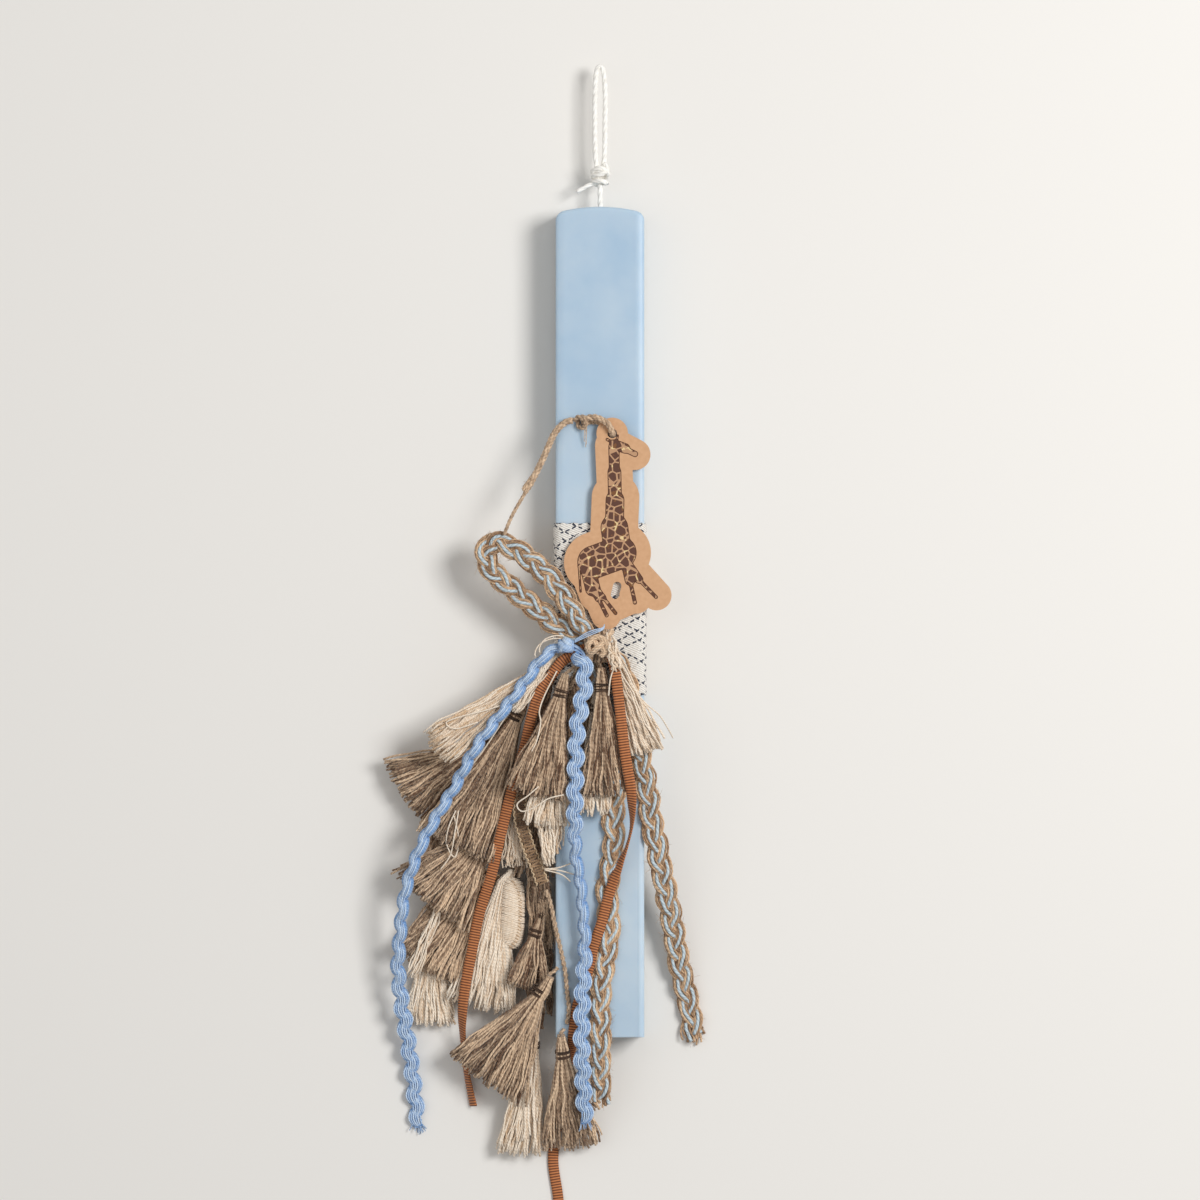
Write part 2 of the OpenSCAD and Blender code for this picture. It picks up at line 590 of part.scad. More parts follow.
module tassel_hangers() {
    color(jute_colour) for (i = [0 : len(TASSELS) - 1]) if (len(TASSELS[i][HANGER]) > 0) {
        t = TASSELS[i];
        fall_room = hanger_w / 2 * sin(t[FALL]);
        z = t[PLACE][2] - rest_gap - fall_room - hanger_t;
        union() {
            translate([0, 0, z]) linear_extrude(hanger_t) stroke(t[HANGER], [t[PLACE][0], t[PLACE][1]], hanger_w / 2);
            stitch(i, rest_gap + fall_room + hanger_t / 2);
        }
    }
}

module tassel_stitches() {
    color(thread_colour) for (i = [0 : len(TASSELS) - 1]) if (len(TASSELS[i][HANGER]) == 0)
        stitch(i, layer_gap - stitch_lift);
}

candle_body();
wick_core();
wick_knot();
wick_loop();
wick_tail();
wrap_tape();
tag_card();
tag_twine_loop();
tag_twine_knot();
tag_twine_lead();
bunch_tie();
braid_loop();
braid_tail_centre();
braid_tail_right();
rickrack_knot();
rickrack_left();
rickrack_centre();
ribbon_left();
ribbon_right();
trim_tape_front();
trim_tape_back();
trim_cord_lower();
trim_cord_twisted();
tassel_hangers();
tassel_stitches();
tassel_skirt(0, cream_colour);  // tassel_01_skirt
tassel_binding(0, cream_colour);  // tassel_01_binding
tassel_skirt(1, jute_colour);  // tassel_02_skirt
tassel_binding(1, thread_colour);  // tassel_02_binding
tassel_skirt(2, jute_colour);  // tassel_03_skirt
tassel_binding(2, thread_colour);  // tassel_03_binding
tassel_skirt(3, jute_colour);  // tassel_04_skirt
tassel_binding(3, thread_colour);  // tassel_04_binding
tassel_skirt(4, jute_colour);  // tassel_05_skirt
tassel_binding(4, thread_colour);  // tassel_05_binding
tassel_skirt(5, cream_colour);  // tassel_06_skirt
tassel_binding(5, cream_colour);  // tassel_06_binding
tassel_skirt(6, cream_colour);  // tassel_07_skirt
tassel_binding(6, cream_colour);  // tassel_07_binding
tassel_skirt(7, cream_colour);  // tassel_08_skirt
tassel_binding(7, cream_colour);  // tassel_08_binding
tassel_skirt(8, jute_colour);  // tassel_09_skirt
tassel_binding(8, thread_colour);  // tassel_09_binding
tassel_skirt(9, jute_colour);  // tassel_10_skirt
tassel_binding(9, thread_colour);  // tassel_10_binding
tassel_skirt(10, cream_colour);  // tassel_11_skirt
tassel_binding(10, cream_colour);  // tassel_11_binding
tassel_skirt(11, cream_colour);  // tassel_12_skirt
tassel_binding(11, cream_colour);  // tassel_12_rolled_head
tassel_skirt(12, jute_colour);  // tassel_13_skirt
tassel_binding(12, thread_colour);  // tassel_13_binding
tassel_skirt(13, jute_colour);  // tassel_14_skirt
tassel_binding(13, thread_colour);  // tassel_14_binding
tassel_skirt(14, cream_colour);  // tassel_15_skirt
tassel_binding(14, cream_colour);  // tassel_15_binding
tassel_skirt(15, jute_colour);  // tassel_16_skirt
tassel_binding(15, thread_colour);  // tassel_16_binding
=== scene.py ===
import math
import random

import bpy
import numpy as np
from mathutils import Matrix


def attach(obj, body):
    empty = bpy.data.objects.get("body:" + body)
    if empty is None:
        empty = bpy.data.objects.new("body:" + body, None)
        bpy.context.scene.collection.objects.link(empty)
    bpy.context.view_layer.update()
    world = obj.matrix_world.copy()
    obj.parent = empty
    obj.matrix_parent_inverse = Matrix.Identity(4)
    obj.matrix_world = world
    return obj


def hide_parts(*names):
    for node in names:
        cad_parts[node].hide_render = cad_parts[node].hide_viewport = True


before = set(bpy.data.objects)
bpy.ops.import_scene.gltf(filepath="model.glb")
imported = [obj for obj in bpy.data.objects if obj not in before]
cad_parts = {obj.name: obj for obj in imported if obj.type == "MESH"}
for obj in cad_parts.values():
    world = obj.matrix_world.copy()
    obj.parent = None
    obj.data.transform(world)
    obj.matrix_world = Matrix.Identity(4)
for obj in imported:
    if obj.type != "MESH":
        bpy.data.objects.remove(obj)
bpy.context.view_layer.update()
bpy.ops.object.select_all(action="DESELECT")
rng = random.Random(27)
mm = 0.001
turn = 2 * math.pi

# Shared ways of working: colours and nodes of materials


def toLinear(hexText):
    parts = [int(hexText[i:i + 2], 16) / 255 for i in (1, 3, 5)]
    return [c / 12.92 if c <= 0.04045 else ((c + 0.055) / 1.055) ** 2.4 for c in parts] + [1.0]


def addNode(tree, kind, links=None, **values):
    node = tree.nodes.new("ShaderNode" + kind)
    for key, value in values.items():
        setattr(node, key, value)
    for socket, source in (links or {}).items():
        target = node.inputs[socket]
        if isinstance(source, bpy.types.NodeSocket):
            tree.links.new(source, target)
        else:
            target.default_value = source
    return node


def newMaterial(name, roughness, **constants):
    material = bpy.data.materials.new(name)
    material.use_nodes = True
    tree = material.node_tree
    shader = tree.nodes["Principled BSDF"]
    shader.inputs["Roughness"].default_value = roughness
    for key, value in constants.items():
        shader.inputs[key.replace("_", " ")].default_value = value
    return material, tree, shader


def maths(tree, operation, a, b=0.0, c=0.0):
    return addNode(tree, "Math", {0: a, 1: b, 2: c}, operation=operation).outputs[0]


def vectorMaths(tree, operation, a, b, output="Vector"):
    second = "Scale" if operation == "SCALE" else 1
    return addNode(tree, "VectorMath", {0: a, second: b}, operation=operation).outputs[output]


def noise(tree, vector, scale, detail):
    return addNode(tree, "TexNoise", {"Vector": vector, "Scale": scale, "Detail": detail}).outputs["Fac"]


# Sockets 6 and 7 of a mix node are its two colours, each a hex text or a link; output 2 is the mixed one
def mixColour(tree, factor, a, b, blend="MIX"):
    a, b = [toLinear(c) if isinstance(c, str) else c for c in (a, b)]
    node = addNode(tree, "Mix", {"Factor": factor, 6: a, 7: b}, data_type="RGBA", blend_type=blend)
    return node.outputs[2]


def rampBetween(tree, factor, dark, light, ends=(0.0, 1.0)):
    ramp = addNode(tree, "ValToRGB", {"Fac": factor})
    for element, colour, position in zip(ramp.color_ramp.elements, (dark, light), ends):
        element.position = position
        element.color = toLinear(colour)
    return ramp.outputs[0]


def bumpInto(tree, shader, height, distance, strength=1.0):
    node = addNode(tree, "Bump", {"Height": height, "Distance": distance, "Strength": strength})
    tree.links.new(node.outputs[0], shader.inputs["Normal"])


# Lines and the meshes made of them. Routes are written in millimetres; a point that has no fourth
# number gets the extra one, where that is given
def inMetres(route, extra=()):
    return [[x * mm for x in p[:3]] + list(p[3:] or extra) for p in route]


def runOf(points):
    return np.concatenate([[0], np.cumsum(np.linalg.norm(np.diff(points, axis=0), axis=1))])


# A smooth line through given points, stepped evenly; extra numbers of a point ride along
def walk(route, step):
    points = np.array(route, dtype=float)
    last = len(points) - 1
    fine = []
    for i in range(last):
        a, b, c, d = (points[max(i - 1, 0)], points[i], points[i + 1], points[min(i + 2, last)])
        for u in np.linspace(0, 1, 24, endpoint=False):
            fine.append(0.5 * (2 * b + (c - a) * u + (2 * a - 5 * b + 4 * c - d) * u * u
                               + (3 * b - a - 3 * c + d) * u ** 3))
    fine = np.array(fine + [points[last]])
    run = runOf(fine[:, :3])
    at = np.linspace(0, run[-1], max(int(run[-1] / step), 2) + 1)
    return np.stack([np.interp(at, run, fine[:, k]) for k in range(fine.shape[1])], axis=1), at


def smooth(route, step):
    return walk(inMetres(route), step)[0]


def unit(v):
    return v / np.maximum(np.linalg.norm(v, axis=-1, keepdims=True), 1e-12)


# Directions along a line: ahead, level across it, and up from it
def directions(line, ref=(0, 0, 1)):
    ahead = unit(np.gradient(line, axis=0))
    across = unit(np.cross(np.broadcast_to(ref, line.shape), ahead))
    return ahead, across, np.cross(ahead, across)


# The same for a line whose fourth number is a roll in degrees; the roll comes back with them
def rolledDirections(line):
    roll = np.radians(line[:, 3:])
    ahead, level, rise = directions(line[:, :3])
    across = level * np.cos(roll) + rise * np.sin(roll)
    return ahead, across, rise * np.cos(roll) - level * np.sin(roll), roll[:, 0]


# A line moved sideways and up by amounts that may change along it
def beside(line, across, drift, up, lift):
    return line + across * np.reshape(drift, (-1, 1)) + up * np.reshape(lift, (-1, 1))


# Faces of a sleeve of rings with a cap at each end, and the coordinates of all but the caps
def sleeve(faces, coords, base, around, run):
    m = len(around) - 1
    for i in range(len(run) - 1):
        for k in range(m):
            a = base + i * m + k
            b = base + i * m + (k + 1) % m
            faces.append((a, b, b + m, a + m))
            coords += [around[k], run[i], around[k + 1], run[i],
                       around[k + 1], run[i + 1], around[k], run[i + 1]]
    faces.append(tuple(base + k for k in reversed(range(m))))
    faces.append(tuple(base + (len(run) - 1) * m + k for k in range(m)))


def newPiece(name, verts, faces, coords, material, **numbers):
    mesh = bpy.data.meshes.new(name)
    mesh.from_pydata(verts.tolist(), [], faces)
    mesh.uv_layers.new(name="strand").data.foreach_set("uv", np.array(coords, dtype=np.float32))
    for label, values in numbers.items():
        mesh.attributes.new(label, "FLOAT", "POINT").data.foreach_set("value", np.concatenate(values))
    mesh.polygons.foreach_set("use_smooth", [True] * len(mesh.polygons))
    mesh.materials.append(material)
    piece = bpy.data.objects.new(name, mesh)
    bpy.context.collection.objects.link(piece)
    return piece


# Skin over closed rings, for bands that are wide and flat
def makeSkin(name, rings, material):
    faces, coords = [], []
    girth = runOf(np.concatenate([rings[0], rings[0][:1]]))
    sleeve(faces, coords, 0, girth, runOf(rings.mean(axis=1)))
    coords += [0.0, 0.0] * (2 * rings.shape[1])
    return newPiece(name, rings.reshape(-1, 3), faces, coords, material)


# A strand may also have a dye, a flatness, and a direction that its rings are set up from
def strand(points, radius, tone, **more):
    return dict(points=points, radius=radius, tone=tone, **more)


# One mesh of many tubes; tone and dye are numbers the material reads per strand
def makeTubes(name, lines, material, sides=6):
    verts, faces, tones, dyes, coords = [], [], [], [], []
    around = [k / sides for k in range(sides + 1)]
    angle = np.arange(sides) * turn / sides
    base = 0
    for line in lines:
        p = np.asarray(line["points"], dtype=float)
        n = len(p)
        radius = np.broadcast_to(line["radius"], n)
        _, across, up = directions(p, line.get("ref", (0, 0, 1)))
        wide = np.cos(angle)[None, :, None] * across[:, None, :]
        high = line.get("flat", 1.0) * np.sin(angle)[None, :, None] * up[:, None, :]
        verts.append((p[:, None, :] + radius[:, None, None] * (wide + high)).reshape(-1, 3))
        run = runOf(p)
        sleeve(faces, coords, base, around, run)
        coords += [0.0, run[0]] * sides + [0.0, run[-1]] * sides
        tones.append(np.repeat(np.broadcast_to(line["tone"], n), sides))
        dyes.append(np.full(n * sides, line.get("dye", 0.0)))
        base += n * sides
    return newPiece(name, np.concatenate(verts), faces, coords, material, tone=tones, dye=dyes)


def place(piece, body, slotName, *nodes):
    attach(piece, body)
    if nodes:
        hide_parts(*nodes)


# Tubes that are the look of one node
def dress(node, lines, material, slotName, body="candle"):
    place(makeTubes(node + "_look", lines, material), body, slotName, node)


# A piece that lies as a cord along a route and is the look of one node
def declareCord(node, piece, route, slotName):
    line, at = walk(inMetres([p[:3] for p in route]), 2 * mm)
    place(piece, "candle", slotName, node)


def jitter(amount):
    return (rng.random() * 2 - 1) * amount


# A slow, smooth wander along a line, for strands that don't lie quite straight
def wander(at, amount, wave):
    total = np.zeros(len(at))
    for k in (1.0, 2.3):
        total += math.copysign(amount / k, jitter(1)) * np.sin(turn * (at * k / wave + rng.random()))
    return total


# Loose fibres that stand off a yarn and soften its edge; the settings of a piece give their count,
# length, radius, lift and tone
def fuzz(lines, count, length, radius, lift, tone):
    made = []
    for _ in range(count):
        line = rng.choice(lines)
        p = np.asarray(line["points"])
        i = rng.randrange(1, len(p) - 1)
        ahead = unit(p[i + 1] - p[i - 1])
        way = unit(ahead * rng.choice((-1, 1)) + np.array([jitter(0.8), jitter(0.8), rng.random() * 0.5]))
        bend = np.array([jitter(1), jitter(1), rng.random() * 0.4])
        u = np.linspace(0, 1, 6)[:, None]
        reach = length * (0.5 + rng.random())
        made.append(strand(p[i] + way * reach * u + bend * lift * u * u, radius * np.linspace(1, 0.4, 6),
                           tone + jitter(0.3), dye=line.get("dye", 0.0)))
    return made


# Lines of plies twisted round each other; the settings of a piece give their count, radius, distance
# from the middle, pitch and tone
def plyLines(spine, at, plies, radius, offset, pitch, tone, shrink=1.0):
    _, across, up = directions(spine)
    lines = []
    for k in range(plies):
        phase = turn * (at / pitch + k / plies)
        points = beside(spine, across, offset * shrink * np.cos(phase), up, offset * shrink * np.sin(phase))
        lines.append(strand(points, radius * shrink, tone + jitter(0.2)))
    return lines


def twist(route, step, plies, radius, offset, pitch, tone):
    line, at = walk(inMetres(route), step)
    return plyLines(line, at, plies, radius, offset, pitch, tone)


# Materials of yarn: dark and light strands, a ply twist in bump and painted shade, a second dye for mixed
# trims
def yarnMaterial(name, dark, light, second, plyLength, plies, bump, sheen=0.25, grooveShadeLevel=0.72):
    material, tree, shader = newMaterial(name, 0.88, Sheen_Weight=sheen, Sheen_Roughness=0.5,
                                         Specular_IOR_Level=0.25)
    tone = addNode(tree, "Attribute", attribute_name="tone").outputs["Fac"]
    dye = addNode(tree, "Attribute", attribute_name="dye").outputs["Fac"]
    coords = addNode(tree, "TexCoord")
    speckle = noise(tree, coords.outputs["Object"], 900.0, 3.0)
    uv = addNode(tree, "SeparateXYZ", {0: coords.outputs["UV"]})
    along = maths(tree, "MULTIPLY", uv.outputs[1], 1 / plyLength)
    around = maths(tree, "MULTIPLY", uv.outputs[0], plies)
    wave = maths(tree, "SINE", maths(tree, "MULTIPLY", maths(tree, "ADD", along, around), turn))
    ply = maths(tree, "MULTIPLY_ADD", wave, 0.5, 0.5)
    shade = maths(tree, "MULTIPLY_ADD", maths(tree, "SUBTRACT", speckle, 0.5), 1.1, tone)
    body = mixColour(tree, dye, rampBetween(tree, shade, dark, light), second)
    # Painted shade: the colour is darkened in the grooves between the plies
    plyGrooveShade = addNode(tree, "MapRange", {0: ply, 1: 0.0, 2: 0.5, 3: grooveShadeLevel, 4: 1.0}).outputs[0]
    tree.links.new(mixColour(tree, 1.0, body, plyGrooveShade, "MULTIPLY"), shader.inputs["Base Color"])
    bumpInto(tree, shader, maths(tree, "MULTIPLY_ADD", speckle, 0.8, ply), bump)
    return material


# Raw jute: grey-brown with pale strands, hairy and dull
juteYarn = yarnMaterial("jute yarn", "#6b4d38", "#efd0ae", "#cfe0e8", 1.6 * mm, 2, 0.12 * mm)
# Jute with a pale blue cotton yarn, as plaited in the braids: warmer and lighter than the tassels
braidYarn = yarnMaterial("jute and blue cotton braid", "#8a6547", "#efcaa2", "#c6d5dc", 1.8 * mm, 2,
                         0.12 * mm)
# Soft blue cotton threads of the rickrack, with a slight silk
blueCotton = yarnMaterial("blue cotton thread", "#5b90cc", "#cfe2f7", "#cfe2f7", 0.9 * mm, 2, 0.05 * mm,
                          0.4)
# Cream cotton strands, smooth and bright
creamCotton = yarnMaterial("cream cotton strand", "#d8b894", "#fff0dc", "#9aa8a0", 1.3 * mm, 2, 0.06 * mm,
                           0.3)
# White cotton of the wick, stiff with wax
wickCotton = yarnMaterial("waxed wick cotton", "#e9e4da", "#fffdf8", "#fffdf8", 3.5 * mm, 1, 0.02 * mm,
                          0.1, 0.96)
# Dark brown sewing thread that binds the necks
bindThread = yarnMaterial("dark binding thread", "#33241a", "#6b5140", "#6b5140", 0.8 * mm, 2, 0.05 * mm,
                          0.1)
# Brown gimp with cream edge cords
gimpYarn = yarnMaterial("brown gimp braid", "#5c4433", "#b3916e", "#d8bd9a", 0.8 * mm, 2, 0.05 * mm)
yarns = {"jute": (juteYarn, "jute"), "cream": (creamCotton, "cream_cotton")}
print("stage: yarn materials ready")

# Camera: straight above, as the photograph was taken

cameraSet = {"distance": 2.2, "aim": (0.0, 7.94 * mm), "plane": 16.8 * mm, "across": 433.2 * mm}
cameraData = bpy.data.cameras.new("camera")
camera = bpy.data.objects.new("camera", cameraData)
bpy.context.collection.objects.link(camera)
camera.location = cameraSet["aim"] + (cameraSet["plane"] + cameraSet["distance"],)
cameraData.angle = 2 * math.atan(cameraSet["across"] / 2 / cameraSet["distance"])
cameraData.clip_end = 20
bpy.context.scene.camera = camera
print("stage: camera ready")

# Heights that the braids lie at on the wrap and on the wax, in millimetres above the floor
onWrap = 19.1
onFront = 18.3

# Braids of three strands, each with a pale blue yarn between jute ones. A yarn has its place in the
# strand, its height, its radius and its dye; a fourth number of a point narrows the braid there

braidSet = {
    "width": 8 * mm, "swing": 2.35 * mm, "rise": 0.75 * mm, "step": 0.8 * mm,
    "drift": (0.22 * mm, 13 * mm), "lift": (0.1 * mm, 9 * mm), "frayWide": 1.6 * mm, "frayHigh": 0.6 * mm,
    "fuzz": (1500, 2.4 * mm, 0.07 * mm, 0.9 * mm, 0.8),
    "yarns": [
        (-1.6, -0.45, 0.34, 0), (-1.15, -0.05, 0.36, 0), (-0.75, 0.22, 0.37, 0), (0.0, 0.4, 0.62, 1),
        (0.75, 0.22, 0.37, 0), (1.15, -0.05, 0.36, 0), (1.6, -0.45, 0.34, 0), (-0.8, -0.6, 0.5, 0),
        (0.0, -0.35, 0.5, 0), (0.8, -0.6, 0.5, 0)],
    "loop": [
        (-4, -4.2, 23.8, 0.55), (-7.5, 0, 23.4, 0.8), (-13, 9, 22.6), (-19, 17, 22),
        (-25.5, 22.5, 21.2), (-32, 27, 20.2), (-37.5, 29, 19.2), (-41.5, 25, 18.4), (-39, 18.5, 18),
        (-31.5, 12, 18.2), (-24, 5.5, 18.8), (-17, 0, 19.6), (-10.5, -4.4, 20.4, 0.8),
        (-5.6, -6.6, 20.6, 0.45)],
    "centre": [
        (-1.2, -12.4, onWrap, 0.5), (-0.6, -22, onWrap, 0.8), (1, -36, onWrap), (4, -50, 18.7),
        (5.4, -62, onFront), (4.7, -70, onFront), (5.2, -79, onFront), (4.4, -86, onFront),
        (2.6, -97, onFront), (3.6, -111, onFront), (2.2, -119, onFront), (0.6, -130, onFront),
        (0, -141, onFront), (0, -151, onFront), (0, -160, 16.1), (0.4, -176, 10.3)],
    "right": [
        (3.5, -10, onWrap, 0.45), (8, -17, onWrap, 0.8), (11.5, -30, onWrap), (14.4, -48, onFront),
        (16.8, -60, onFront), (18.4, -71, onFront), (20.4, -80, 17.7), (22, -89, 15.9), (24, -98, 13.3),
        (25.8, -107, 10.3), (27.6, -118, 7.4), (29.4, -127, 4.8), (31.6, -136, 2.8), (33.4, -145, 2.2),
        (34.4, -153, 2.0)]}


def plait(node, route, pitch, fray):
    line, at = walk(inMetres(route, (1.0,)), braidSet["step"])
    spine = line[:, :3]
    narrow = line[:, 3]
    _, across, up = directions(spine)
    loose = np.clip(1 - (at[-1] - at) / fray, 0, 1) ** 2 if fray else np.zeros(len(at))
    lines = []
    for k in range(3):
        phase = turn * (at / pitch + k / 3)
        centre = beside(spine, across, braidSet["swing"] * narrow * np.sin(phase),
                        up, -braidSet["rise"] * np.sin(2 * phase))
        lateral = unit(np.cross(up, unit(np.gradient(centre, axis=0))))
        for offset, height, radius, dye in braidSet["yarns"]:
            drift = wander(at, *braidSet["drift"]) + offset * mm * narrow
            drift += loose * jitter(braidSet["frayWide"])
            lift = height * mm + wander(at, *braidSet["lift"]) + loose * jitter(braidSet["frayHigh"])
            keep = len(at) - (rng.randrange(0, 6) if fray else 0)
            points = beside(centre, lateral, drift, up, lift)[:keep]
            lines.append(strand(points, radius * mm, 0.5 + jitter(0.42), dye=dye))
    lines += fuzz(lines, *braidSet["fuzz"])
    piece = makeTubes(node + "_look", lines, braidYarn)
    declareCord(node, piece, route, "braid")


plait("braid_loop", braidSet["loop"], 22 * mm, 0)
plait("braid_tail_centre", braidSet["centre"], 25 * mm, 12 * mm)
plait("braid_tail_right", braidSet["right"], 25 * mm, 12 * mm)
print("stage: braids made")

# Rickrack: petals of parallel threads that bulge left and right by turns, each tucked under the next;
# the fourth number of a point rolls the band

rickSet = {
    "width": 7.4 * mm, "petal": 4.1 * mm, "threads": 6, "radius": 0.27 * mm, "core": 1.9 * mm,
    "ends": 14, "endRadius": 0.16 * mm,
    "left": [
        (-15.2, -9.6, 25.8, 50), (-20.5, -13, 25.2, 55), (-29, -24.5, 24.7, 55), (-36, -33.6, 24.7, 55),
        (-45, -46, 24.4, 55), (-52, -59, 20.4, 55), (-59.6, -71.5, 19.8, 55), (-65, -82, 19.8, 52),
        (-69, -93, 17.6, 50), (-71, -102, 16.5, 48), (-72.4, -115, 13.5, 35), (-73, -126, 11.6, 22),
        (-71.6, -140, 8.4, 0), (-69.4, -154, 5, 0), (-68, -165, 2.8, 0), (-67, -175, 1.6, 0),
        (-66, -183, 1.2, 0)],
    "centre": [
        (-9, -12, 28.2, 30), (-6, -14.6, 30.4, 0), (-5.6, -22.7, 29.3, 0), (-7, -31, 29.2, 0),
        (-8.3, -40, 29.2, 0), (-8.7, -52, 29.2, 0), (-9, -64, 28.8, 0), (-9, -74, 25.6, 10),
        (-8.6, -84, 23.4, 50), (-7, -93, 22.8, 55), (-6, -104, 22.4, 55), (-5.4, -113, 22.4, 45),
        (-5.6, -122, 22.2, 15), (-6.2, -132, 22.2, 0), (-6.5, -143, 22.2, 0), (-6.5, -155, 21.6, 0),
        (-6.2, -163, 18.8, 0), (-5.6, -175.5, 14.4, 0), (-5, -183, 11.8, 0)]}


def sample(where, at, values):
    return np.stack([np.interp(where, at, values[:, k]) for k in range(3)], axis=1)


def rickrack(node, route):
    line, at = walk(inMetres(route), 0.5 * mm)
    ahead, across, up, roll = rolledDirections(line)
    petal, threads = rickSet["petal"], rickSet["threads"]
    u = np.sin(np.linspace(-1, 1, 13) * math.pi / 2)
    arch = np.maximum(np.cos(u * math.pi / 2), 0) ** 0.55
    tuckShade = 0.9 * np.clip((np.abs(u) - 0.6) / 0.4, 0, 1)
    lines = []
    for n in range(int(at[-1] / petal)):
        where = np.clip((n + 0.5 + u) * petal, 0, at[-1])
        base, wide, high = [sample(where, at, values) for values in (line, across, up)]
        side = (1 if n % 2 else -1) * (1 - 0.4 * np.sin(np.interp(where, at, roll))) * mm
        for j in range(threads):
            share = (j + 0.5) / threads
            puff = math.sin(share * math.pi)
            out = side * (-1.6 + (0.2 + 4.9 * share) * arch)
            dome = (1.2 * arch - 0.85 + puff + 0.45 * u) * mm
            # Painted highlight on each petal's dome, painted shade where it tucks under the next; alternate
            # tones are real
            tone = (0.9 if j % 2 else 0.5) + 0.15 * puff + jitter(0.12) - tuckShade
            points = beside(base, wide, out, high, dome)
            lines.append(strand(points, rickSet["radius"] * (0.75 + 0.35 * arch), tone))
        core = beside(base, wide, side * (-1.0 + 2.4 * arch), high, (1.2 * arch - 1.0 + 0.45 * u) * mm)
        # The core gets a dark tone: painted shade under the petals
        lines.append(strand(core, rickSet["core"] * (0.35 + 0.65 * arch), 0.25, flat=0.5))
    for _ in range(rickSet["ends"]):
        way = unit(ahead[-1] + np.array([jitter(0.5), jitter(0.5), jitter(0.2)]))
        reach = np.linspace(0, (3 + 2.5 * rng.random()) * mm, 6)[:, None]
        start = base[-1] - ahead[-1] * 2 * mm + across[-1] * jitter(1.6 * mm)
        lines.append(strand(start + way * reach, rickSet["endRadius"], 0.6 + jitter(0.3)))
    piece = makeTubes(node + "_look", lines, blueCotton)
    declareCord(node, piece, route, "blue_rickrack")


rickrack("rickrack_left", rickSet["left"])
rickrack("rickrack_centre", rickSet["centre"])
print("stage: rickracks made")

# Grosgrain ribbons: flat bands with fine cross ribs; the fourth number of a point turns the band on edge

ribbonSet = {
    "width": 3.8 * mm, "thick": 0.5 * mm, "rib": 0.98 * mm, "step": 0.2 * mm,
    "section": [(-0.5, -0.5), (-0.2, -0.55), (0.2, -0.55), (0.5, -0.5),
                (0.5, 0.5), (0.2, 0.55), (-0.2, 0.55), (-0.5, 0.5)],
    "left": [
        (-5.2, -9.6, 23.1, 0), (-9.5, -11.6, 23.3, 0), (-14, -14.5, 23.6, 0), (-18, -20, 23.3, 0),
        (-22, -26, 23.1, 0), (-25, -35.4, 22.2, 0), (-27.4, -46, 20.2, 0), (-32, -61.5, 18.8, 0),
        (-36, -77.5, 17.6, 0), (-39, -90.5, 15.6, 0), (-43.7, -106, 12.4, 0), (-46.6, -120.5, 10.8, 0),
        (-48.8, -132, 10.6, 10), (-49.8, -141, 10.4, 30), (-49.8, -150, 6.8, 60),
        (-48.4, -164, 2.9, 60), (-46, -176, 2.1, 50)],
    "right": [
        (3.6, -10.6, 27.4, 0), (5.4, -17.3, 28.7, 0), (7.2, -31.4, 28.6, 0), (8.4, -42.6, 28.6, 0),
        (9.8, -52, 28.6, 0), (11.2, -61, 28.4, 20), (11.4, -72.6, 23.8, 75), (9.6, -81, 21.6, 80),
        (7.2, -87, 21, 55), (3.6, -97, 20.5, 10), (0.4, -109, 20.4, 0), (-2.2, -116.6, 20.3, 0),
        (-4.4, -126, 19.8, 0), (-8, -138, 17.8, 0), (-9.4, -147, 17.4, 0), (-9.8, -150.6, 17.3, 0),
        (-10.4, -153.6, 14.8, 0), (-11.2, -158, 11, 0), (-12.5, -165, 6.8, 0), (-14.6, -177, 2.2, 0),
        (-16.4, -188, 0.8, 0), (-17, -197, 0.6, 0), (-15.4, -208, 0.6, 0), (-14.6, -216, 0.6, 0)]}

# Brown grosgrain: warm and a little shiny, with painted highlight on the ribs and painted shade between them
grosgrain, tree, shader = newMaterial("brown grosgrain ribbon", 0.62, Sheen_Weight=0.2,
                                      Specular_IOR_Level=0.35)
uv = addNode(tree, "SeparateXYZ", {0: addNode(tree, "TexCoord").outputs["UV"]})
ribWave = maths(tree, "SINE", maths(tree, "MULTIPLY", uv.outputs[1], turn / ribbonSet["rib"]))
ribHighlightAndShade = addNode(tree, "MapRange", {0: ribWave, 1: -1.0, 2: 1.0}).outputs[0]
# Painted light: the colour runs from dark between the ribs to light on them
tree.links.new(rampBetween(tree, ribHighlightAndShade, "#5a2c12", "#cc814d"), shader.inputs["Base Color"])


def ribbon(node, route):
    line, at = walk(inMetres(route), ribbonSet["step"])
    _, across, up, _ = rolledDirections(line)
    thick = ribbonSet["thick"] * (1 + 0.35 * np.sin(turn * at / ribbonSet["rib"]))
    rings = np.stack([beside(line[:, :3], across, a * ribbonSet["width"], up, b * thick)
                      for a, b in ribbonSet["section"]], axis=1)
    piece = makeSkin(node + "_look", rings, grosgrain)
    declareCord(node, piece, route, "brown_grosgrain")


ribbon("ribbon_left", ribbonSet["left"])
ribbon("ribbon_right", ribbonSet["right"])
print("stage: ribbons made")

# Gimp tapes: a brown thread laid to and fro between two corded cream edges. A cord under the thread
# has its place from edge to edge, its height, its radius and its dye

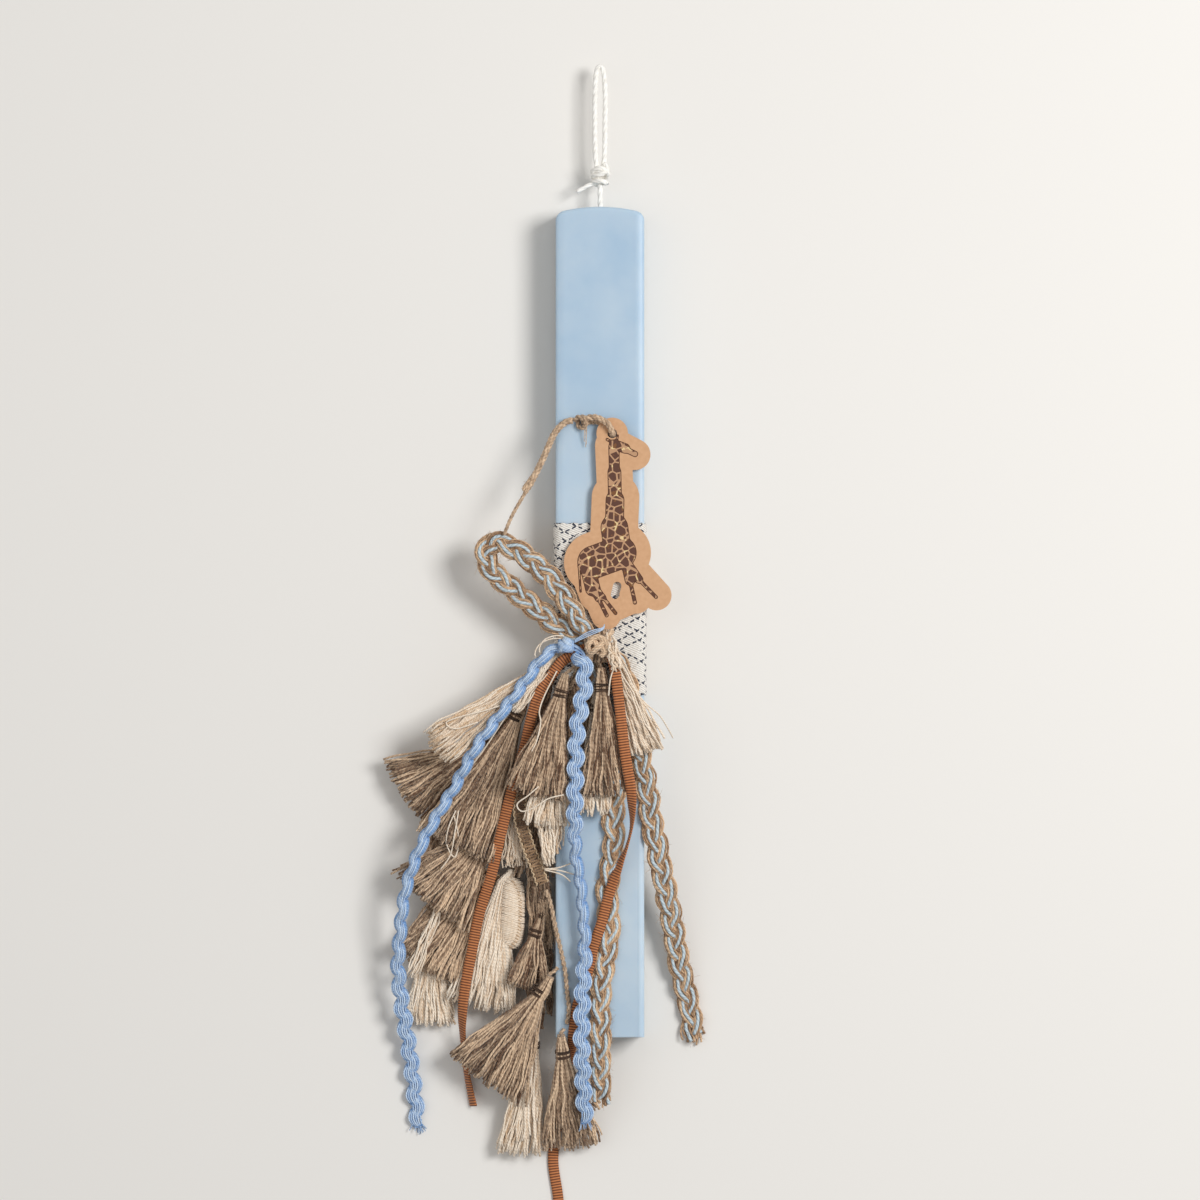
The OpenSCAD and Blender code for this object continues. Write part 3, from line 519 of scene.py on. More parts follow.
tapeSet = {
    "step": 0.14 * mm, "lay": 1.9 * mm, "thread": 0.36 * mm, "margin": 0.45 * mm,
    "fibresPerMm": 4, "fuzz": (1.6 * mm, 0.07 * mm, 0.6 * mm, 0.9),
    "cords": [(-0.5, -0.12, 0.4, 0), (0, -0.12, 0.4, 0), (0.5, -0.12, 0.4, 0), (-1, 0.1, 0.34, 1),
              (1, 0.1, 0.34, 1)],
    "front": [
        (-4.2, -11, 18.4, 0.45), (-9, -22, 18.4, 0.8), (-14, -36, 18.2), (-20.5, -47, 18),
        (-26.5, -58, 18), (-29, -68, 17.8), (-26.5, -79, 17.8), (-22.6, -89, 17.8), (-20.8, -94.5, 17.8)],
    "back": [
        (-5.4, -5, 18.4, 0.5), (-13, -8, 18.4, 0.7), (-20.5, -13, 17.2), (-24, -21, 15.4),
        (-27.6, -27, 12.9), (-28.4, -30, 12.9), (-32, -35, 8), (-36, -38.6, 4.9), (-39.5, -42, 4.9),
        (-40, -49, 4.9), (-38, -58, 6.2), (-36, -66, 8.9), (-35, -71, 8.9), (-32.4, -79, 7),
        (-30.4, -86, 4.9), (-31.4, -91.6, 4.9), (-36, -94, 4.9), (-41, -91, 4.9), (-46, -92.6, 4.5),
        (-53, -99, 2.2), (-58.5, -104, 0.9), (-62.4, -107.6, 0.9)]}


def gimp(node, route, width):
    line, at = walk(inMetres(route, (1.0,)), tapeSet["step"])
    spine = line[:, :3]
    _, across, up = directions(spine)
    half = (width / 2 - tapeSet["margin"]) * line[:, 3]
    swing = np.sin(turn * at / tapeSet["lay"])
    tone = 0.5 + 0.4 * np.sin(at / (2.3 * mm)) * np.sin(at / (1.7 * mm))
    lines = [strand(beside(spine, across, half * swing, up, 0.15 * mm), tapeSet["thread"], tone)]
    for side, height, radius, dye in tapeSet["cords"]:
        points = beside(spine, across, side * half + dye * 0.3 * mm * swing, up, height * mm)
        lines.append(strand(points[::5], radius * mm, 0.3, dye=dye))
    lines += fuzz(lines[1:], int(at[-1] / mm) * tapeSet["fibresPerMm"], *tapeSet["fuzz"])
    declareCord(node, makeTubes(node + "_look", lines, gimpYarn, 5), route, "jute")


gimp("trim_tape_front", tapeSet["front"], 5 * mm)
gimp("trim_tape_back", tapeSet["back"], 3.5 * mm)

# Jute cords: a twisted one, a flat hank of yarns that the last side tassels hang from, and the tag's lead

cordSet = {
    "lower": [
        (-21.6, -92, 16), (-21.5, -98, 12.6), (-21.4, -103, 8.4), (-21.4, -107.5, 8.4),
        (-22.2, -121, 7.4), (-23.4, -138, 7.2), (-24, -147.4, 7.2)],
    "twisted": [
        (-19.6, -96.8, 18.1), (-18, -101, 18), (-16, -110.5, 17.9), (-14, -119, 17.9),
        (-12.6, -126, 17.9), (-11.9, -133, 17.9), (-11.2, -140, 17.9), (-12, -145, 17.9)],
    "lead": [
        (-10, 72.6, 19), (-12.5, 72, 19), (-16.4, 68, 19), (-20.5, 59, 19.4), (-25, 50, 20),
        (-31.5, 38.6, 22.4), (-34.5, 31.5, 22.2)],
    "twistedPlies": (2, 0.48 * mm, 0.42 * mm, 4.2 * mm, 0.65),
    "twistedFuzz": (60, 1.3 * mm, 0.06 * mm, 0.4 * mm, 0.8),
    "hankYarns": 13, "hankPitch": 0.52 * mm, "hankRadius": 0.4 * mm,
    "hankFuzz": (80, 1.6 * mm, 0.06 * mm, 0.6 * mm, 0.8),
    "leadPlies": (3, 0.68 * mm, 0.6 * mm, 5 * mm, 0.65),
    "leadFuzz": (90, 1.2 * mm, 0.06 * mm, 0.4 * mm, 0.8),
    "leadThick": 31 * mm, "leadThin": 0.55, "leadEnds": 7, "leadEndRadius": 0.3 * mm}


def juteCord(node, lines, route):
    declareCord(node, makeTubes(node + "_look", lines, juteYarn), route, "jute")


lines = twist(cordSet["twisted"], 0.5 * mm, *cordSet["twistedPlies"])
lines += fuzz(lines, *cordSet["twistedFuzz"])
juteCord("trim_cord_twisted", lines, cordSet["twisted"])

line, at = walk(inMetres(cordSet["lower"]), 0.8 * mm)
_, across, up = directions(line)
lines = []
for k in range(cordSet["hankYarns"]):
    drift = (k - cordSet["hankYarns"] // 2) * cordSet["hankPitch"] + wander(at, 0.4 * mm, 24 * mm)
    lift = jitter(0.5 * mm) + wander(at, 0.25 * mm, 18 * mm)
    lines.append(strand(beside(line, across, drift, up, lift), cordSet["hankRadius"], 0.35 + jitter(0.35)))
lines += fuzz(lines, *cordSet["hankFuzz"])
juteCord("trim_cord_lower", lines, cordSet["lower"])

# The lead is thick at first, then the bundle ends in a cut and one thin yarn goes on
line, at = walk(inMetres(cordSet["lead"]), 0.5 * mm)
thin = np.where(at < cordSet["leadThick"], 1.0, cordSet["leadThin"])
thin = np.convolve(np.pad(thin, 4, mode="edge"), np.ones(9) / 9, mode="valid")
lines = plyLines(line, at, *cordSet["leadPlies"], thin)
_, across, up = directions(line)
stop = int(cordSet["leadThick"] / (at[1] - at[0]))
span = slice(max(stop - 26, 0), stop + 4)
for k in range(cordSet["leadEnds"]):
    drift = -np.linspace(0.0, 1.0, len(line[span])) * (0.6 + 0.22 * k) * mm
    points = beside(line[span], across[span], drift, up[span], jitter(0.5 * mm))
    keep = len(points) - rng.randrange(0, 4)
    lines.append(strand(points[:keep], cordSet["leadEndRadius"], 0.7 + jitter(0.25)))
lines += fuzz(lines, *cordSet["leadFuzz"])
juteCord("tag_twine_lead", lines, cordSet["lead"])
print("stage: tapes and cords made")

# Wax candle: a flat bar with an arched top, all its edges softened by the mould

candleSet = {"width": 32 * mm, "length": 300 * mm, "thick": 16 * mm, "back": 0.8 * mm, "rise": 2.2 * mm,
             "longEdge": 2.8 * mm, "topEdge": 0.45, "footEdge": 0.15, "inner": 12.6 * mm, "columns": 36}
bpy.ops.mesh.primitive_grid_add(x_subdivisions=candleSet["columns"], y_subdivisions=1, size=1.0)
candle = bpy.context.object
candle.name = "candle_body_look"
halfWidth = candleSet["width"] / 2
halfLength = candleSet["length"] / 2
# The outer columns lie on the long sides, the others are drawn in to leave flat room for the soft edge
drawnIn = candleSet["inner"] * candleSet["columns"] / (candleSet["columns"] - 2)
for v in candle.data.vertices:
    side = v.co.x * 2
    x = math.copysign(halfWidth, side) if abs(side) > 0.99 else side * drawnIn
    drop = candleSet["rise"] * (x / halfWidth) ** 2 if v.co.y > 0.4 else 0.0
    v.co = (x, v.co.y * candleSet["length"] - drop, candleSet["back"])
solid = candle.modifiers.new("thickness", "SOLIDIFY")
solid.thickness = candleSet["thick"]
solid.offset = 1.0
bpy.ops.object.modifier_apply(modifier="thickness")
weights = candle.data.attributes.new("bevel_weight_edge", "FLOAT", "EDGE")
for edge in candle.data.edges:
    start, end = [candle.data.vertices[k].co for k in edge.vertices]
    atSide = min(abs(start.x), abs(end.x)) > halfWidth - 0.01 * mm
    atTop = min(start.y, end.y) > halfLength - 5 * mm
    atFoot = max(start.y, end.y) < -halfLength + 0.01 * mm
    if atSide and not atFoot:
        weights.data[edge.index].value = 1.0
    elif (atTop or atFoot) and abs(start.z - end.z) < 0.01 * mm:
        weights.data[edge.index].value = candleSet["topEdge"] if atTop else candleSet["footEdge"]
soften = candle.modifiers.new("soft edges", "BEVEL")
soften.width = candleSet["longEdge"]
soften.segments = 7
soften.limit_method = "WEIGHT"
bpy.ops.object.modifier_apply(modifier="soft edges")
bpy.ops.object.shade_smooth_by_angle(angle=math.radians(35))
bpy.ops.object.select_all(action="DESELECT")

# Pale blue wax: light sinks in a little, the skin is satin with a faint uneven bloom
wax, tree, shader = newMaterial("pale blue wax", 0.42, Subsurface_Weight=0.35, Subsurface_Scale=0.003,
                                Specular_IOR_Level=0.45, Subsurface_Radius=(0.7, 0.9, 1.0))
surface = addNode(tree, "TexCoord").outputs["Object"]
bloom = rampBetween(tree, noise(tree, surface, 30.0, 4.0), "#a4bed4", "#c0d0dc", (0.3, 0.7))
tree.links.new(bloom, shader.inputs["Base Color"])
bumpInto(tree, shader, noise(tree, surface, 120.0, 2.0), 0.1 * mm, 0.5)
candle.data.materials.append(wax)
place(candle, "candle", "wax", "candle_body")
print("stage: candle made")

# Woven wrap: a sleeve of ivory cord weave with short dark dashes set in a lattice of diamonds

wrapSet = {"halfWidth": 16.85 * mm, "halfThick": 8.85 * mm, "corner": 3.6 * mm, "middle": 8.8 * mm,
           "from": -26.3 * mm, "to": 35.7 * mm, "rib": 0.95 * mm, "cornerSteps": 8, "step": 1.2 * mm,
           "puff": 0.1 * mm, "sink": 0.12 * mm, "edgeSink": 0.25 * mm, "ragged": 0.3 * mm}
corners = []
corner = wrapSet["corner"]
for sx, sy, begin in ((1, 1, 0), (-1, 1, 90), (-1, -1, 180), (1, -1, 270)):
    for k in range(wrapSet["cornerSteps"] + 1):
        angle = math.radians(begin + k * 90 / wrapSet["cornerSteps"])
        corners.append((sx * (wrapSet["halfWidth"] - corner) + corner * math.cos(angle),
                        sy * (wrapSet["halfThick"] - corner) + corner * math.sin(angle)))
corners = np.array(corners)
outline = []
for a, b in zip(corners, np.roll(corners, -1, axis=0)):
    parts = max(int(np.linalg.norm(b - a) / wrapSet["step"]), 1)
    outline += [a + (b - a) * j / parts for j in range(parts)]
outline = np.array(outline)
outward = unit(outline / np.array([1.0, 0.6]))
unevenness = wrapSet["ragged"] * np.sin(np.arange(len(outline)) * 1.7)
rings = []
for y in np.arange(wrapSet["from"], wrapSet["to"], wrapSet["rib"] / 6):
    edge = min(y - wrapSet["from"], wrapSet["to"] - y)
    puff = wrapSet["puff"] * abs(math.sin(math.pi * y / wrapSet["rib"])) - wrapSet["sink"]
    puff -= wrapSet["edgeSink"] if edge < 0.3 * mm else 0
    ragged = unevenness * (1 if edge < 0.6 * mm else 0)
    flat = outline + outward * puff
    rings.append(np.stack([flat[:, 0], y + ragged, wrapSet["middle"] + flat[:, 1]], axis=1))
rings = np.array(rings)[:, ::-1, :]

# Ivory cord weave: slanted soft threads with painted shade between them, dark dashes in step with the rows
weave, tree, shader = newMaterial("ivory woven wrap", 0.9, Sheen_Weight=0.2, Specular_IOR_Level=0.2)
surface = addNode(tree, "TexCoord").outputs["UV"]
uv = addNode(tree, "SeparateXYZ", {0: surface})
x = uv.outputs[0]
y = uv.outputs[1]
dashSet = {"length": 2.3 * mm, "filled": 0.62, "halfThick": 0.33 * mm, "uneven": 0.16, "kept": 0.4,
           "rows": [(0.5, 7.4 * mm, 0.1, 0.0), (0.5, 7.4 * mm, 0.52, 0.45),
                    (-0.5, 8.2 * mm, 0.3, 0.2), (-0.5, 8.2 * mm, 0.75, 0.7)]}
slant = maths(tree, "MULTIPLY_ADD", x, 0.42, y)
thread = maths(tree, "SINE", maths(tree, "MULTIPLY", slant, turn / (0.8 * mm)))
crossing = maths(tree, "SUBTRACT", x, maths(tree, "MULTIPLY", y, 0.5))
crossed = maths(tree, "SINE", maths(tree, "MULTIPLY", crossing, turn / (2.4 * mm)))
cell = noise(tree, surface, 170.0, 1.0)
grain = noise(tree, surface, 1400.0, 2.0)


# Dashes along slanted lines: thin in y, broken in step along x
def dashes(slope, repeat, shift, breakShift):
    slid = maths(tree, "MULTIPLY_ADD", x, slope, y)
    uneven = maths(tree, "MULTIPLY_ADD", cell, dashSet["uneven"], shift - dashSet["uneven"] / 2)
    line = maths(tree, "MULTIPLY_ADD", slid, 1 / repeat, uneven)
    near = maths(tree, "ABSOLUTE", maths(tree, "SUBTRACT", maths(tree, "FRACT", line), 0.5))
    which = maths(tree, "MULTIPLY_ADD", maths(tree, "FLOOR", line), 0.37, breakShift)
    broken = maths(tree, "FRACT", maths(tree, "MULTIPLY_ADD", x, 1 / dashSet["length"], which))
    return maths(tree, "MULTIPLY", maths(tree, "LESS_THAN", near, dashSet["halfThick"] / repeat),
                 maths(tree, "LESS_THAN", broken, dashSet["filled"]))


onLine = 0.0
for row in dashSet["rows"]:
    onLine = maths(tree, "MAXIMUM", onLine, dashes(*row))
dark = maths(tree, "MULTIPLY", onLine, maths(tree, "GREATER_THAN", cell, dashSet["kept"]))
# Painted shade: the ivory darkens in the grooves between the slanted threads
ivory = mixColour(tree, maths(tree, "MULTIPLY_ADD", thread, 0.5, 0.5), "#d0cbc2", "#f6f2eb")
tree.links.new(mixColour(tree, dark, ivory, "#363c4b"), shader.inputs["Base Color"])
height = maths(tree, "MULTIPLY_ADD", thread, 0.5, maths(tree, "MULTIPLY", crossed, 0.35))
bumpInto(tree, shader, maths(tree, "MULTIPLY_ADD", grain, 0.8, height), 0.12 * mm)
place(makeSkin("wrap_tape_look", rings, weave), "candle", "woven_wrap", "wrap_tape")
print("stage: wrap made")

# Card tag: the cut card keeps its shape; the printed animal is drawn in its finish, stroke by stroke,
# each from a start to an end with a half width, in millimetres

printSet = {
    "rim": 0.32 * mm, "blend": 0.7 * mm, "cells": 350.0, "seam": 0.075, "glints": 420.0, "glint": 0.6,
    "strokes": [
        ((5.2, 64.0), (9.0, 62.6), 1.9), ((8.4, 62.6), (12.6, 60.6), 1.15),
        ((4.8, 64.6), (2.6, 65.8), 0.6), ((6.0, 65.0), (6.3, 67.2), 0.5),
        ((5.0, 63.0), (5.2, 54.0), 2.0), ((5.2, 54.0), (5.4, 44.0), 2.5),
        ((5.4, 44.0), (5.2, 34.0), 3.4), ((5.2, 34.0), (6.2, 27.0), 5.0),
        ((-2.2, 21.6), (7.2, 25.0), 6.0), ((-4.4, 19.6), (-2.6, 12.0), 2.8),
        ((-2.6, 12.0), (-0.6, 8.6), 1.4), ((-0.6, 8.6), (2.4, 2.4), 0.75),
        ((-1.2, 12.0), (1.2, 8.8), 1.1), ((1.2, 8.8), (5.6, 3.2), 0.7),
        ((9.4, 21.0), (10.8, 15.0), 1.9), ((10.8, 15.0), (12.6, 7.0), 0.75),
        ((10.8, 20.0), (14.0, 15.4), 1.6), ((14.0, 15.4), (20.2, 9.0), 0.7),
        ((-7.6, 20.0), (-7.0, 11.0), 0.45)]}
# Kraft card with a brown and gold print: matte fibre outside the figure, a little foil shine in it
card, tree, shader = newMaterial("printed kraft card", 0.8, Specular_IOR_Level=0.3)
coords = addNode(tree, "TexCoord")
flatPlace = vectorMaths(tree, "MULTIPLY", coords.outputs["Object"], (1.0, 1.0, 0.0))
depth = None
for start, end, half in printSet["strokes"]:
    a = np.array(start + (0.0,)) * mm
    span = np.array(end + (0.0,)) * mm - a
    fromStart = vectorMaths(tree, "SUBTRACT", flatPlace, tuple(a))
    share = vectorMaths(tree, "DOT_PRODUCT", fromStart, tuple(span / (span @ span)), "Value")
    share = addNode(tree, "Clamp", {"Value": share}).outputs[0]
    foot = vectorMaths(tree, "SCALE", tuple(span), share)
    away = maths(tree, "SUBTRACT", vectorMaths(tree, "DISTANCE", fromStart, foot, "Value"), half * mm)
    depth = away if depth is None else maths(tree, "SMOOTH_MIN", depth, away, printSet["blend"])
upright = addNode(tree, "SeparateXYZ", {0: coords.outputs["Normal"]}).outputs[2]
inside = maths(tree, "MULTIPLY", maths(tree, "LESS_THAN", depth, 0.0),
               maths(tree, "GREATER_THAN", upright, 0.9))
rim = maths(tree, "GREATER_THAN", depth, -printSet["rim"])
cells = addNode(tree, "TexVoronoi", {"Vector": flatPlace, "Scale": printSet["cells"], "Randomness": 0.9},
                feature="DISTANCE_TO_EDGE")
patch = maths(tree, "GREATER_THAN", cells.outputs["Distance"], printSet["seam"])
sparkle = noise(tree, flatPlace, printSet["glints"], 2.0)
gold = maths(tree, "MULTIPLY", maths(tree, "GREATER_THAN", sparkle, printSet["glint"]),
             maths(tree, "SUBTRACT", 1.0, rim))
coat = mixColour(tree, patch, "#bb9270", "#5f4034")
coat = mixColour(tree, gold, coat, mixColour(tree, patch, "#e9d2a2", "#8a6042"))
coat = mixColour(tree, rim, coat, "#553626")
fibre = noise(tree, coords.outputs["Object"], 700.0, 4.0)
kraft = mixColour(tree, fibre, "#c4966f", "#d9ad86")
tree.links.new(mixColour(tree, inside, kraft, coat), shader.inputs["Base Color"])
shine = maths(tree, "MULTIPLY", maths(tree, "MULTIPLY", inside, gold), 0.55)
tree.links.new(shine, shader.inputs["Metallic"])
bumpInto(tree, shader, fibre, 0.02 * mm, 0.6)
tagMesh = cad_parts["tag_card"].data
tagMesh.materials.clear()
tagMesh.materials.append(card)
print("stage: tag finished")

# Twine through the tag's hole: plies that loop from its lead, over the card's edge and under the card

twineSet = {
    "loop": [
        (-6.6, 72.6, 19.4), (-4.4, 73.6, 21.0), (-1.0, 73.6, 21.6), (2.6, 71.6, 21.4),
        (4.4, 68.4, 20.6), (4.4, 67.6, 18.6), (3.2, 69.4, 17.6), (0.2, 72.0, 17.5), (-3.6, 72.4, 17.6),
        (-6.4, 71.4, 18.2)],
    "knot": [
        (-9.6, 72.8, 18.9), (-7.6, 73.9, 20.4), (-5.6, 73.0, 21.2), (-5.2, 71.0, 20.4),
        (-6.6, 70.0, 18.8), (-8.0, 71.2, 17.9), (-7.6, 73.4, 18.2), (-5.4, 74.0, 19.4),
        (-4.6, 72.2, 20.2)],
    "step": 0.5 * mm, "loopPlies": (3, 0.62 * mm, 0.6 * mm, 5.5 * mm, 0.6),
    "knotPlies": (2, 0.5 * mm, 0.45 * mm, 4.5 * mm, 0.6), "fuzz": (60, 2 * mm, 0.06 * mm, 0.8 * mm, 0.8),
    "ends": 3, "endRadius": 0.14 * mm}
lines = twist(twineSet["loop"], twineSet["step"], *twineSet["loopPlies"])
lines += fuzz(lines, *twineSet["fuzz"])
dress("tag_twine_loop", lines, juteYarn, "jute", "tag_twine")
lines = twist(twineSet["knot"], twineSet["step"], *twineSet["knotPlies"])
for k in range(twineSet["ends"]):
    start = np.array([-5.6 + 0.4 * k, 70.6, 19.6])
    hang = np.linspace(0, 1, 8)[:, None] * np.array([jitter(0.8), -5.5 - k, -1.4])
    lines.append(strand((start + hang) * mm, twineSet["endRadius"], 0.85))
dress("tag_twine_knot", lines, juteYarn, "jute")

# Wick: waxed cotton plies, knotted above the wax, a loop to hang it by and a cut tail. A row has the
# look's name, the node, the step, the radius of a ply and its distance from the middle, and the route

wickSet = {"plies": 3, "pitch": 9 * mm, "tone": 0.7, "rows": [
    ("wick_stem_look", "wick_core", 0.6, 0.62, 0.36, [(0, 146, 8.8), (0.1, 152, 8.8), (0, 159, 8.8)]),
    ("wick_loop_look", "wick_loop", 0.6, 0.6, 0.36, [
        (-1.1, 164.4, 9.2), (-1.7, 170, 8.9), (-1.9, 180, 8.8), (-1.8, 190, 8.8), (-1.5, 197.6, 8.8),
        (-0.9, 200.4, 8.8), (0, 201.2, 8.8), (0.9, 200.4, 8.8), (1.5, 197.6, 8.8), (1.9, 190, 8.8),
        (1.8, 180, 8.8), (1.7, 170, 8.9), (1.1, 164.4, 9.2)]),
    ("wick_knot_look", "wick_knot", 0.5, 0.6, 0.36, [
        (1.4, 166, 9.4), (2.6, 163.8, 10.2), (0.6, 162.2, 11.8), (-2.4, 161.6, 9.6), (-1.4, 160.6, 6.4),
        (1.8, 161.0, 6.6), (2.7, 162.6, 9.6), (0.2, 164.2, 11.9), (-2.6, 163.2, 9.8),
        (-1.6, 161.2, 7.0), (1.0, 159.4, 6.8), (2.4, 159.0, 9.4), (0.0, 159.6, 11.4),
        (-2.4, 159.4, 9.2), (-0.8, 158.4, 7.4), (0.4, 158.2, 8.8)]),
    ("wick_tail_look", "wick_tail", 0.5, 0.5, 0.32, [
        (-0.6, 159.4, 9.6), (-3.2, 158.6, 9.0), (-6, 157.2, 8.8), (-8.4, 155.8, 8.6)])]}
for name, node, step, radius, offset, route in wickSet["rows"]:
    lines = twist(route, step * mm, wickSet["plies"], radius * mm, offset * mm, wickSet["pitch"],
                  wickSet["tone"])
    place(makeTubes(name, lines, wickCotton), "candle", "wick_cotton", node)
print("stage: wick and twine made")

# Bunch tie: jute twine wound round the gathered trims and crossed over on top

tieSet = {
    "x": -0.8, "z": 22.6, "wide": 4.3, "high": 5.3, "turns": (-11.2, -9.6, -8.0, -6.4), "turnRun": 31 * mm,
    "turnRadius": 0.6 * mm, "turnPitch": 4 * mm, "crossPlies": (4, 0.5 * mm, 0.62 * mm, 6 * mm, 0.85),
    "fillers": 46, "fillerRadius": 0.55 * mm, "fuzz": (120, 2.4 * mm, 0.06 * mm, 1 * mm, 0.85),
    "crossings": [
        [(-6.2, -3.4, 23), (-4.0, -5.4, 28.0), (-1.0, -8.0, 29.8), (1.8, -10.6, 28.8), (3.6, -13.6, 24.5)],
        [(4.4, -3.2, 23.5), (2.6, -5.6, 28.4), (0.2, -8.0, 30.4), (-2.4, -10.4, 29.2), (-5.4, -13.2, 25)],
        [(-3.4, -11.6, 27.6), (-4.4, -8.4, 29.8), (-1.6, -5.4, 30.2), (1.8, -6.6, 30.2), (2.4, -9.6, 29.6),
         (0.2, -12.2, 28.4)]]}
lines = []
angle = np.linspace(0, turn, 33)
run = np.linspace(0, tieSet["turnRun"], 33)
for k, y in enumerate(tieSet["turns"]):
    tilt = 0.5 * math.cos(k * 2.1)
    ring = np.stack([tieSet["x"] + tieSet["wide"] * np.cos(angle), y + tilt * np.sin(angle + k),
                     tieSet["z"] + tieSet["high"] * np.sin(angle)], axis=1) * mm
    for ply in range(2):
        phase = turn * (run / tieSet["turnPitch"] + ply / 2)
        inOut = 0.3 * mm * np.sin(phase)
        points = ring + np.stack([inOut, 0.42 * mm * np.cos(phase), inOut], axis=1)
        lines.append(strand(points, tieSet["turnRadius"], 0.75 + jitter(0.25), ref=(0, 1, 0)))
for route in tieSet["crossings"]:
    lines += twist(route, 0.5 * mm, *tieSet["crossPlies"])
for _ in range(tieSet["fillers"]):
    x = tieSet["x"] + jitter(3.2)
    z = tieSet["z"] + jitter(3.8)
    route = [(x * 0.9 + jitter(0.6), -2.6, z), (x, -5.5, z), (x, -10.5, z),
             (x * 1.1 + jitter(0.6), -14.5, z)]
    lines.append(strand(smooth(route, 1.2 * mm), tieSet["fillerRadius"], 0.35 + jitter(0.25)))
lines += fuzz(lines, *tieSet["fuzz"])
dress("bunch_tie", lines, juteYarn, "jute")

# Rickrack knot: three bands of threads over a wound core beside the tie, threads that lead on to the
# centre tail, and a thin end that lies over the tie

knotSet = {"bands": [((-14.6, -10.6), (-10.6, -6.4)), ((-15.0, -7.4), (-9.8, -10.2)),
                     ((-13.4, -6.2), (-10.2, -8.6))],
           "threads": 9, "bulge": 3.4, "height": 26.2, "windings": 16, "leads": 10, "thinEnds": 3,
           "radius": 0.3 * mm, "leadRadius": 0.34 * mm, "thinRadius": 0.2 * mm}
lines = []
run = np.linspace(-1, 1, 13)
arch = np.cos(run * math.pi / 2) ** 0.7
for start, end in knotSet["bands"]:
    middle = (np.array(start) + np.array(end)) / 2
    half = (np.array(end) - np.array(start)) / 2
    way = unit(half)
    for j in range(knotSet["threads"]):
        share = (j + 0.5) / knotSet["threads"]
        out = (share - 0.5) * knotSet["bulge"] * arch
        puff = math.sin(share * math.pi)
        x = middle[0] + half[0] * run - way[1] * out
        y = middle[1] + half[1] * run + way[0] * out
        z = knotSet["height"] + 2.0 * arch + 0.9 * puff + 0.03 * len(lines)
        # Painted highlight: the middle threads of a band are lighter, its edge threads darker
        lines.append(strand(np.stack([x, y, z], axis=1) * mm, knotSet["radius"],
                            0.4 + 0.4 * puff + jitter(0.2)))
angle = np.linspace(0, turn, 21)
for j in range(knotSet["windings"]):
    x = -14.6 + 0.3 * j + 0.5 * np.sin(angle)
    ring = np.stack([x, -8.6 + 2.2 * np.cos(angle), 26 + 2.0 * np.sin(angle)], axis=1)
    lines.append(strand(ring * mm, knotSet["radius"], 0.35 + jitter(0.2), ref=(1, 0, 0)))
for _ in range(knotSet["leads"]):
    spread = jitter(1.1)
    rise = jitter(0.9)
    route = [(-15.6, -9.6 + spread, 25.9 + rise), (-12, -8.8 + spread * 1.2, 26.4 + rise),
             (-8.5, -9.6 + spread, 26.6 + rise), (-6, -11.4 + spread * 0.8, 27.2 + rise),
             (-5.4, -13.8 + spread, 28.6 + rise * 0.6)]
    lines.append(strand(smooth(route, 0.8 * mm), knotSet["leadRadius"], 0.5 + jitter(0.25)))
for j in range(knotSet["thinEnds"]):
    route = [(-9.4, -7.4, 27.4), (-5.6, -5.6 + 0.3 * j, 28.6), (-2.4, -4.2 + 0.3 * j, 29), (0.8, -2.8, 27.4),
             (1.6, -1.6, 25)]
    aside = np.array([0, 0.35 * j, 0]) * mm
    lines.append(strand(smooth(route, 0.8 * mm) + aside, knotSet["thinRadius"], 0.7))
dress("rickrack_knot", lines, blueCotton, "blue_rickrack")
print("stage: tie made")

# Tassels: place of the head loop, heading from straight down, fall, length, half width at the tip,
# thickness, yarn, and the point its hanger comes from. The spread widens a tip in the look, the shift
# moves a neck and a tip sideways, and the shade lightens or darkens a tassel

